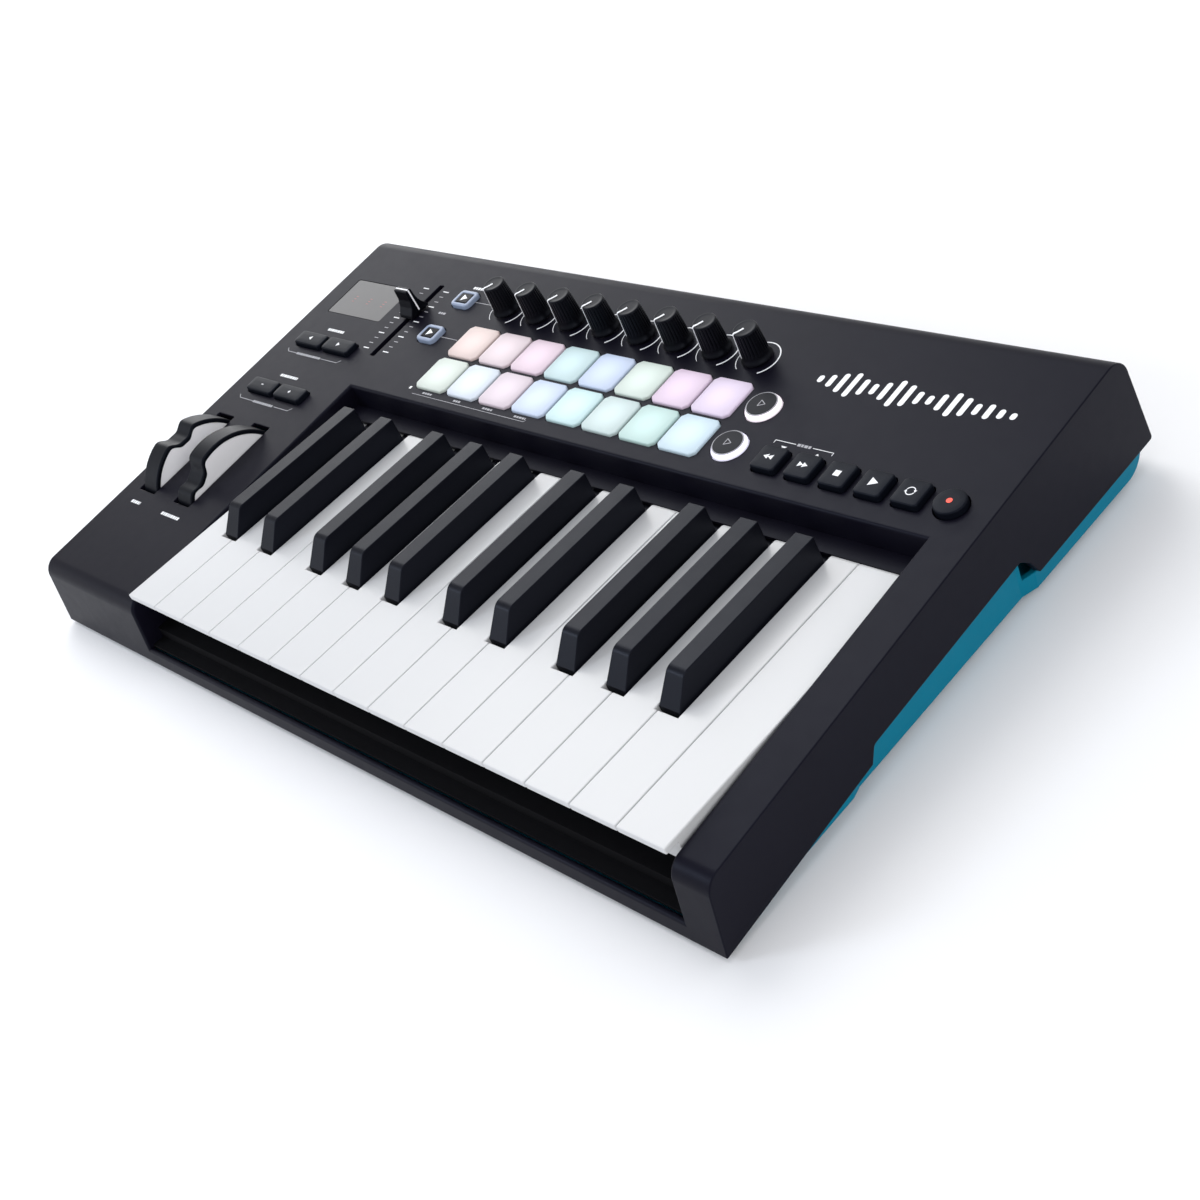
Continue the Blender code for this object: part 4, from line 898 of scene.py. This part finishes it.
def build_knobs():
    """Eight knobs, each with its pointer, sharing one form."""
    knob_form = knob_mesh()
    pointer_form = pointer_mesh()
    for node in KNOBS:
        x, run, _top = panel_spot(node)
        seat = on_panel(x, run)
        for kind, form, replaced in (("grip", knob_form, (node,)), ("pointer", pointer_form, ())):
            piece = bpy.data.objects.new(f"{node}_{kind}", form.data)
            bpy.context.scene.collection.objects.link(piece)
            piece.matrix_world = seat @ Matrix.Rotation(KNOB_POINTER, 4, "Z")
            place(piece, node, *replaced)
    bpy.data.objects.remove(knob_form)
    bpy.data.objects.remove(pointer_form)


def build_fader():
    """The tall waisted fader cap with its white line."""
    low, high = panel_box("fader_cap")
    seat = on_panel((low.x + high.x) / 2, (low.y + high.y) / 2)
    half = (high.x - low.x) / 2
    side = [(-6.4, 0.8), (6.4, 0.8), (5.8, 2.6), (3.4, 5.8), (2.1, 9.5), (1.8, 15.0),
            (-1.8, 15.0), (-2.1, 9.5), (-3.4, 5.8), (-5.8, 2.6)]
    radii = [0.4, 0.4, 2.0, 3.0, 3.0, 0.7, 0.7, 3.0, 3.0, 2.0]
    outline = rounded(polygon(side), [radius * MM for radius in radii], 5)
    cap = make("fader_grip", mesh_of(add_prism, outline, -half, half, "X"), KNOB)
    round_edges(cap, 0.45 * MM, lambda a, b: True)
    stem = mesh_of(add_box, (-0.8 * MM, -2.5 * MM, -3.0 * MM), (0.8 * MM, 2.5 * MM, 2.0 * MM))
    combine(cap, stem, "UNION")
    soften(cap.data)
    cap.matrix_world = seat
    place(cap, "fader_cap", "fader_cap")
    outer = half + 0.1 * MM
    bend = half - 0.4 * MM
    crest = 15.1 * MM
    path = [(outer, 2.6 * MM), (outer, 14.6 * MM), (bend, crest), (-bend, crest),
            (-outer, 14.6 * MM), (-outer, 2.6 * MM)]
    rings = []
    for a, b in path:
        c, d = (a * 0.9, min(b, 14.6 * MM))
        rings.append([(a, -0.4 * MM, b), (a, 0.4 * MM, b), (c, 0.4 * MM, d), (c, -0.4 * MM, d)])
    place(make("fader_line", mesh_of(add_rings, rings), ICON, seat), "fader_cap")


# ---- Buttons ----
def cap_size(node):
    """Place, top height, width, length and corner radius of a button's cap."""
    low, high = panel_box(node)
    corner = FRAME_CORNER if node in FRAMED_BUTTONS else CAP_CORNER
    return ((low.x + high.x) / 2, (low.y + high.y) / 2, high.z, high.x - low.x - 2 * FLANGE,
            high.y - low.y - 2 * FLANGE, corner)


def build_rubber_caps():
    """The square rubber caps and the round record cap."""
    for node in RUBBER_CAPS + ("record_button",):
        x, run, top, width, length, corner = cap_size(node)
        shape = rectangles(width, length, corner, 0.2, 0.5 * MM)
        if node == "record_button":
            shape = circles(width / 2, 64)
        skirt = [(FLANGE - 0.1 * MM, SKIRT_FOOT), (FLANGE - 0.1 * MM, SKIRT_TOP)]
        sections = skirt + crowned(SKIRT_TOP, top, 0.7 * MM, 0.2 * MM)
        cap = make(node + "_cap", mesh_of(add_stack, shape, sections), CAP, on_panel(x, run))
        place(cap, node, node)


def build_framed_buttons():
    """Two buttons with a translucent frame round a black cap."""
    for node in FRAMED_BUTTONS:
        x, run, top, width, length, corner = cap_size(node)
        sections = [(0.6 * MM, SKIRT_FOOT), (0.6 * MM, SKIRT_TOP), (0.0, SKIRT_TOP),
                    (0.0, top - 0.8 * MM), (-0.1 * MM, top - 0.4 * MM),
                    (-0.4 * MM, top - 0.1 * MM), (-0.8 * MM, top), (-1.7 * MM, top),
                    (-2.0 * MM, top - 0.2 * MM), (-2.1 * MM, top - 1.0 * MM)]
        form = mesh_of(add_stack, rectangles(width, length, corner), sections)
        frame_piece = make(node + "_frame", form, FRAME_BLUE, on_panel(x, run))
        place(frame_piece, node, node)
        inner = rectangles(width - 4.5 * MM, length - 4.5 * MM, 0.7 * MM, 0.0)
        sections = [(0.0, top - 0.95 * MM), (0.0, top - 0.25 * MM),
                    (-0.15 * MM, top - 0.08 * MM), (-0.4 * MM, top)]
        form = mesh_of(add_stack, inner, sections)
        place(make(node + "_key", form, KNOB, on_panel(x, run)), node)


def build_scene_buttons():
    """Two round buttons: a glowing flank, a thin grey lip and a black disc."""
    tints = {"scene_button_upper": (0.96, 0.86, 0.94), "scene_button_lower": (0.84, 0.82, 0.99)}
    for node in SCENE_BUTTONS:
        x, run, top, width, _length, _corner = cap_size(node)
        radius = width / 2
        glow = surface(node + "_glow", tints[node], 0.35, depth=0.002 * MM, spread=0.02,
                       Emission_Color=(*tints[node], 1.0), Emission_Strength=0.55)
        lip = 7.2 * MM
        profile = [(radius + 0.6 * MM, SKIRT_FOOT), (radius + 0.6 * MM, SKIRT_TOP),
                   (radius, SKIRT_TOP), (radius + 0.15 * MM, 0.1 * MM),
                   (radius + 0.1 * MM, 0.4 * MM), (lip + 0.15 * MM, top - 0.3 * MM),
                   (lip, top - 0.1 * MM), (lip - 0.3 * MM, top)]
        ring = make(node + "_ring", mesh_of(add_turned, profile, 96), glow, on_panel(x, run))
        place(ring, node, node)
        for part, edge, level, material in (("lip", lip - 0.05 * MM, top + 0.12 * MM, FAINT),
                                            ("disc", 6.6 * MM, top + 0.32 * MM, KNOB)):
            profile = [(edge, top - 0.6 * MM), (edge, level - 0.12 * MM),
                       (edge - 0.12 * MM, level - 0.02 * MM), (edge - 0.4 * MM, level),
                       (edge - 3.0 * MM, level)]
            form = mesh_of(add_turned, profile, 96)
            place(make(f"{node}_{part}", form, material, on_panel(x, run)), node)


def build_window():
    """The smoked display window with three dim marks."""
    low, high = panel_box("display_window")
    form = mesh_of(add_stack, rectangles(high.x - low.x, high.y - low.y, 1.3 * MM),
                   [(0.0, low.z), (0.0, high.z - 0.25 * MM), (-0.1 * MM, high.z - 0.05 * MM),
                    (-0.3 * MM, high.z)])
    window = make("window_pane", form, WINDOW,
                  on_panel((low.x + high.x) / 2, (low.y + high.y) / 2))
    place(window, "case", "display_window")
    bm = bmesh.new()
    for x in (-61.0, -48.5, -36.0):
        for rise in (0.0, 1.9, -1.9):
            mark = moved(bar(1.8, 0.5), from_keys(x), (208.6 + rise) * MM)
            add_prism(bm, mark, high.z, high.z + INK / 2)
    place(make("window_marks", bm, DIM_RED, PANEL), "case")


# ---- Wheels ----
def wheel_points(node, inset=0.0, steps=120):
    """Side view of a wheel: most of a half disc with a thumb notch, closed round its hub."""
    notch, middle = WHEELS[node]
    sweep = 91.0 - (3.0 if inset else 0.0)
    outline = []
    for step in range(steps + 1):
        angle = middle - sweep + 2 * sweep * step / steps
        dip = math.exp(-((angle - notch) / NOTCH_SPREAD) ** 4)
        radius = WHEEL_RADIUS - inset - NOTCH_DEPTH * dip
        turn = math.radians(angle)
        outline.append((radius * math.sin(turn), radius * math.cos(turn)))
    hub = 8.0 * MM - inset / 2
    for step in range(1, 12):
        turn = math.radians(middle + sweep + (360 - 2 * sweep) * step / 12)
        outline.append((hub * math.sin(turn), hub * math.cos(turn)))
    return outline


def build_wheels():
    """Rubber wheels with rounded tread edges and a pale disc let into each side."""
    for node in WHEELS:
        low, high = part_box(node)
        half = (high.x - low.x) / 2
        tyre = make(node + "_tyre", mesh_of(add_prism, wheel_points(node), -half, half, "X"),
                    WHEEL)
        round_edges(tyre, 0.8 * MM, lambda a, b: abs(a.x - b.x) < MM
                    and max(a.length, b.length) > 20 * MM, 4)
        for side in (-1, 1):
            cut_prism(tyre, wheel_points(node, 2.2 * MM), side * (half - 0.8 * MM),
                      side * (half + MM), "X")
        cut_prism(tyre, circle(2.5 * MM), -half - MM, half + MM, "X")
        soften(tyre.data)
        # The axle stands where the wheel's joint is, and the outline is tipped with the panel.
        axle = Matrix.Translation(JOINTS[node + "_turn"]["pos_m"])
        seat = axle @ Matrix.Rotation(TILT, 4, "X")
        tyre.matrix_world = seat
        place(tyre, node, node)
        for side, word in ((-1, "left"), (1, "right")):
            levels = sorted((side * (half - 0.79 * MM), side * (half - 0.2 * MM)))
            form = mesh_of(add_prism, wheel_points(node, 2.3 * MM), *levels, "X")
            disc = make(f"{node}_disc_{word}", form, DISC)
            round_edges(disc, 0.25 * MM, lambda a, b: abs(a.x - b.x) < 0.1 * MM, 2)
            disc.matrix_world = seat
            place(disc, node)


# ---- Print and icons ----
def triangle(size, turn=0.0, shift=(0.0, 0.0)):
    """A triangle that points along +X, turned by degrees and shifted."""
    points = []
    for corner in ((0.62, 0.0), (-0.38, 0.55), (-0.38, -0.55)):
        angle = math.radians(turn)
        a = size * (corner[0] * math.cos(angle) - corner[1] * math.sin(angle)) + shift[0]
        b = size * (corner[0] * math.sin(angle) + corner[1] * math.cos(angle)) + shift[1]
        points.append((a, b))
    return polygon(points)


def bar(width, length, shift=(0.0, 0.0)):
    """A rectangle in millimetres."""
    x, y = shift
    return polygon([(x - width / 2, y - length / 2), (x + width / 2, y - length / 2),
                    (x + width / 2, y + length / 2), (x - width / 2, y + length / 2)])


def add_arc(bm, radius, start, end, first, last, low, high, steps=40):
    """A flat band along an arc, in degrees, that widens from first to last."""
    rings = []
    for step in range(steps + 1):
        part = step / steps
        turn = math.radians(start + (end - start) * part)
        half = (first + (last - first) * part) / 2
        rings.append([(reach * math.cos(turn), reach * math.sin(turn), height)
                      for reach, height in ((radius - half, low), (radius + half, low),
                                            (radius + half, high), (radius - half, high))])
    add_rings(bm, rings)


def icon(name, node, outlines, material=ICON, arcs=(), lift=0.0):
    """Flat shapes on top of a button."""
    x, run, top = panel_spot(node)
    levels = (top + lift - 0.3 * MM, top + lift + INK)
    bm = bmesh.new()
    for outline in outlines:
        add_prism(bm, outline, *levels)
    for radius, start, end, width in arcs:
        add_arc(bm, radius * MM, start, end, width * MM, width * MM, *levels)
    place(make(name, bm, material, on_panel(x, run)), node)


def build_icons():
    """The pictograms on the caps."""
    icon("rewind_icon", "rewind_button",
         [triangle(2.4, 180, (-1.2, 0)), triangle(2.4, 180, (1.1, 0))])
    icon("forward_icon", "forward_button",
         [triangle(2.4, 0, (-1.1, 0)), triangle(2.4, 0, (1.2, 0))])
    icon("stop_icon", "stop_button", [bar(2.9, 2.9)])
    icon("play_icon", "play_button", [triangle(3.9)])
    icon("loop_icon", "loop_button", [], arcs=((1.9, 15, 165, 0.42), (1.9, 195, 345, 0.42)))
    icon("loop_tips", "loop_button",
         [triangle(1.2, -80, (1.9, 0.3)), triangle(1.2, 100, (-1.9, -0.3))])
    icon("record_icon", "record_button", [circle(1.25 * MM, 32)], RED)
    icon("track_left_icon", "track_left_button", [triangle(2.3, 180)])
    icon("track_right_icon", "track_right_button", [triangle(2.3, 0)])
    icon("octave_down_icon", "octave_down_button", [bar(1.7, 0.45)])
    icon("octave_up_icon", "octave_up_button", [bar(1.9, 0.45)])
    icon("octave_up_icon_b", "octave_up_button", [bar(0.45, 1.9)])
    for node in FRAMED_BUTTONS:
        icon(node + "_icon", node, [triangle(3.9)])
    for node in SCENE_BUTTONS:
        for index, turn in enumerate((60, 180, 300)):
            angle = math.radians(turn)
            middle = Vector((math.cos(angle), math.sin(angle))) * MM
            along = Vector((-middle.y, middle.x)).normalized() * 1.75 * MM
            across = middle.normalized() * 0.16 * MM
            corners = (middle - along - across, middle + along - across, middle + along + across,
                       middle - along + across)
            icon(f"{node}_icon_{index}", node, [[tuple(corner) for corner in corners]], FAINT,
                 lift=0.33 * MM)


# Prints in millimetres on the panel. Words: x, run, length and height of a row of blocks.
# Strokes: both ends as (x, run), then the width where it isn't the usual one.
WORD_BLOCKS = (1.5, 1.1, 1.7, 1.2, 0.9, 1.6)
WORD_GAP = 0.45
BRACKETS = ((164.0, (-62.4, -41.3)), (127.2, (-57.9, -39.5)))
WHITE_LABELS = ((-50.2, 184.2, 14.0, 1.7), (-49.9, 147.8, 15.0, 1.7), (-66.6, 48.6, 8.0, 1.8),
                (-33.0, 48.4, 16.0, 1.8), (20.5, 231.3, 9.0, 1.7), (39.6, 160.6, 1.6, 1.6))
FAINT_LABELS = ((12.0, 210.6, 6.0, 1.3), (54.0, 159.2, 7.0, 1.1), (76.5, 159.2, 5.0, 1.1),
                (99.0, 159.2, 7.0, 1.1), (122.0, 159.2, 8.0, 1.1), (274.6, 180.2, 7.0, 1.4))
WHITE_STROKES = (((259.6, 180.2), (270.2, 180.2), 0.3), ((279.0, 180.2), (289.6, 180.2), 0.3),
                 ((259.6, 178.6), (259.6, 180.2), 0.3), ((289.6, 178.6), (289.6, 180.2), 0.3))
FAINT_STROKES = (((25.5, 222.0), (40.5, 222.0)), ((25.5, 195.4), (39.5, 195.4)),
                 ((44.0, 157.4), (126.0, 157.4), 0.25), ((126.0, 157.4), (127.0, 158.6), 0.25))
LEVEL_BARS = (4.0, 7.0, 11.0, 14.0, 9.0, 6.0, 10.0, 15.0, 12.0, 7.0, 5.0, 9.0, 13.0, 10.0, 6.0,
              8.0, 5.0, 3.5)


def add_words(bm, x, run, length, height):
    """A row of short blocks where a label stands, centred on x."""
    end = x + length / 2
    start = x - length / 2
    index = 0
    while start < end - 0.6:
        width = min(WORD_BLOCKS[index % len(WORD_BLOCKS)], end - start)
        add_ink(bm, [(start, run - height / 2), (start + width, run - height / 2),
                     (start + width, run + height / 2), (start, run + height / 2)])
        start += width + WORD_GAP
        index += 1


def add_ink(bm, points):
    """One printed outline on the panel, in millimetres from the keys' left edge."""
    add_prism(bm, [(from_keys(a), b * MM) for a, b in points], -0.05 * MM, INK)


def add_stroke(bm, start, end, width=0.32):
    """One printed straight line."""
    first = Vector(start)
    last = Vector(end)
    along = (last - first).normalized()
    side = Vector((-along.y, along.x)) * width / 2
    add_ink(bm, [tuple(first - side), tuple(last - side), tuple(last + side),
                 tuple(first + side)])


def build_print():
    """Everything printed on the panel."""
    white = bmesh.new()
    faint = bmesh.new()
    for row in range(13):
        run = 178.2 + 3.9 * row
        for outer, inward in ((-18.9, 1), (2.0, -1)):
            if row % 3 == 0:
                add_stroke(white, (outer, run), (outer + inward * 4.4, run), 0.6)
            else:
                add_stroke(faint, (outer + inward * 0.6, run), (outer + inward * 3.6, run), 0.42)
    for run, words in BRACKETS:
        add_stroke(faint, (-70.3, run), (words[0] - 0.6, run))
        add_stroke(faint, (words[1] + 0.6, run), (-26.8, run))
        add_stroke(faint, (-72.4, run + 2.1), (-70.3, run))
        add_stroke(faint, (-26.8, run), (-24.7, run + 2.1))
        add_words(faint, sum(words) / 2, run, words[1] - words[0], 1.4)
    for bm, labels, strokes in ((white, WHITE_LABELS, WHITE_STROKES),
                                (faint, FAINT_LABELS, FAINT_STROKES)):
        for label in labels:
            add_words(bm, *label)
        for stroke in strokes:
            add_stroke(bm, *stroke)
    add_ink(white, [(264.4, 177.9), (267.4, 177.9), (265.9, 176.1)][::-1])
    add_ink(white, [(281.8, 176.3), (284.8, 176.3), (283.3, 178.1)])
    for index, level in enumerate(LEVEL_BARS):
        cap = rounded([(-1.3, -level / 2), (1.3, -level / 2), (1.3, level / 2),
                       (-1.3, level / 2)], [1.2] * 4, 5)
        add_ink(white, moved(cap, 256.0 + 5.5 * index, 216.5))
    place(make("panel_print", white, PRINT, PANEL), "case")
    place(make("panel_print_faint", faint, FAINT, PANEL), "case")


def build_scales():
    """The scale printed round each knob, thin at its low end and thick at its high end."""
    for number, node in enumerate(KNOBS, start=1):
        x, run, _top = panel_spot(node)
        form = mesh_of(add_arc, SCALE_RADIUS, -125.0, -415.0, 0.28 * MM, 0.75 * MM, -INK, INK, 72)
        place(make(f"knob_scale_{number}", form, PRINT, on_panel(x, run)), "case")


# ---- Inside and rear ----
def dress_inner_nodes():
    """Materials for the CAD pieces that stay as they are."""
    for node, material in (("key_frame", CHASSIS), ("control_board", BOARD), ("io_board", STEEL),
                           ("wheel_bracket", CHASSIS)):
        slots = frame["nodes"][node].data.materials
        slots.clear()
        slots.append(material)


def build_socket_parts():
    """The USB tongue with its contacts, and the pedal socket's ring."""
    x = from_keys(USB_X)
    face = key_y(260.0 * MM)
    form = mesh_of(add_box, (x - 2.8 * MM, face - 11.9 * MM, SOCKET_Z - 1.6 * MM),
                   (x + 2.8 * MM, face - 1.5 * MM, SOCKET_Z + 1.6 * MM))
    tongue = make("usb_tongue", form, surface("tongue_white", (0.7, 0.7, 0.68), 0.4))
    round_edges(tongue, 0.3 * MM, lambda a, b: True, 2)
    place(tongue, "case")
    bm = bmesh.new()
    for offset in (-1.25, 1.25):
        for level in (-1.62, 1.62):
            add_box(bm, (x + (offset - 0.5) * MM, face - 10 * MM, SOCKET_Z + (level - 0.04) * MM),
                    (x + (offset + 0.5) * MM, face - 2.2 * MM, SOCKET_Z + (level + 0.04) * MM))
    place(make("usb_contacts", bm, GOLD), "case")
    bm = bmesh.new()
    profile = ((3.35, -0.6), (3.35, 0.5), (3.7, 0.9), (4.4, 0.9), (4.75, 0.5), (4.75, -0.6))
    rings = [[(a, b, depth * MM) for a, b in circle(radius * MM, 64)] for radius, depth in profile]
    made = add_rings(bm, rings, closed=False)
    for index in range(64):
        following = (index + 1) % 64
        bm.faces.new((made[-1][index], made[-1][following], made[0][following], made[0][index]))
    seat = Matrix.Translation((from_keys(PEDAL_X), face, SOCKET_Z)) @ Matrix.Rotation(
        math.radians(-90), 4, "X")
    place(make("pedal_ring", bm, STEEL, seat), "case")


# ---- Stage ----
def build_light(name, spot, size, power, tint=(1.0, 1.0, 1.0)):
    """A round lamp that shines at the origin."""
    data = bpy.data.lights.new(name, "AREA")
    data.shape = "DISK"
    data.size = size
    data.energy = power
    data.color = tint
    lamp = bpy.data.objects.new(name, data)
    bpy.context.scene.collection.objects.link(lamp)
    lamp.location = spot
    lamp.rotation_mode = "QUATERNION"
    lamp.rotation_quaternion = (-Vector(spot)).to_track_quat("-Z", "Y")


def build_stage():
    """A pale floor, a soft sky, the lamps and the camera."""
    form = mesh_of(add_box, (-6.0, -6.0, -0.01), (6.0, 6.0, 0.0))
    floor = make("floor", form, surface("floor_pale", (0.9, 0.9, 0.91), 0.9, spread=0.01,
                                        grain=5 * MM))
    scene = bpy.context.scene
    scene.view_settings.view_transform = "Standard"
    world = bpy.data.worlds.new("studio")
    scene.world = world
    world.use_nodes = True
    tree = world.node_tree
    sky = tree.nodes["Background"]
    place_in_sky = tree.nodes.new("ShaderNodeTexCoord")
    split = tree.nodes.new("ShaderNodeSeparateXYZ")
    tree.links.new(place_in_sky.outputs["Generated"], split.inputs[0])
    fade = tree.nodes.new("ShaderNodeMapRange")
    fade.interpolation_type = "SMOOTHSTEP"
    fade.inputs["From Min"].default_value = 0.30
    fade.inputs["From Max"].default_value = 0.75
    tree.links.new(split.outputs["Z"], fade.inputs["Value"])
    colour = mixed(tree, "RGBA", (1.0, 1.0, 1.0, 1.0), (0.30, 0.32, 0.36, 1.0),
                   fade.outputs["Result"])
    tree.links.new(colour, sky.inputs["Color"])
    sky.inputs["Strength"].default_value = 1.05
    build_light("key_light", (-0.9, 0.6, 1.5), 1.2, 14.0, (1.0, 0.99, 0.97))
    build_light("front_light", (-1.0, -1.1, 0.9), 0.5, 7.0, (0.80, 0.88, 1.0))
    build_light("top_light", (0.2, 0.0, 1.9), 1.6, 8.0)
    build_light("side_light", (1.5, -0.4, 0.9), 1.2, 7.0)
    build_light("rear_light", (-1.8, 0.95, 0.62), 1.2, 8.0)
    data = bpy.data.cameras.new("camera")
    data.sensor_width = 36.0
    data.lens = 53.3
    camera = bpy.data.objects.new("camera", data)
    scene.collection.objects.link(camera)
    camera.location = (0.5772, -0.3281, 0.4456)
    aim = Vector((0.0975, -0.0430, 0.0400)) - camera.location
    camera.rotation_mode = "QUATERNION"
    camera.rotation_quaternion = aim.to_track_quat("-Z", "Y") @ Quaternion(
        (0.0, 0.0, 1.0), math.radians(-25.43))
    scene.camera = camera


def main():
    """Build every piece."""
    build_case()
    build_tray()
    build_screws()
    build_feet()
    for number in range(1, 16):
        build_white_key(number)
    for number in range(1, 11):
        build_black_key(number)
    build_pads()
    build_knobs()
    build_fader()
    build_rubber_caps()
    build_framed_buttons()
    build_scene_buttons()
    build_window()
    build_wheels()
    build_icons()
    build_print()
    build_scales()
    dress_inner_nodes()
    build_socket_parts()
    build_stage()
    bpy.context.view_layer.update()


main()
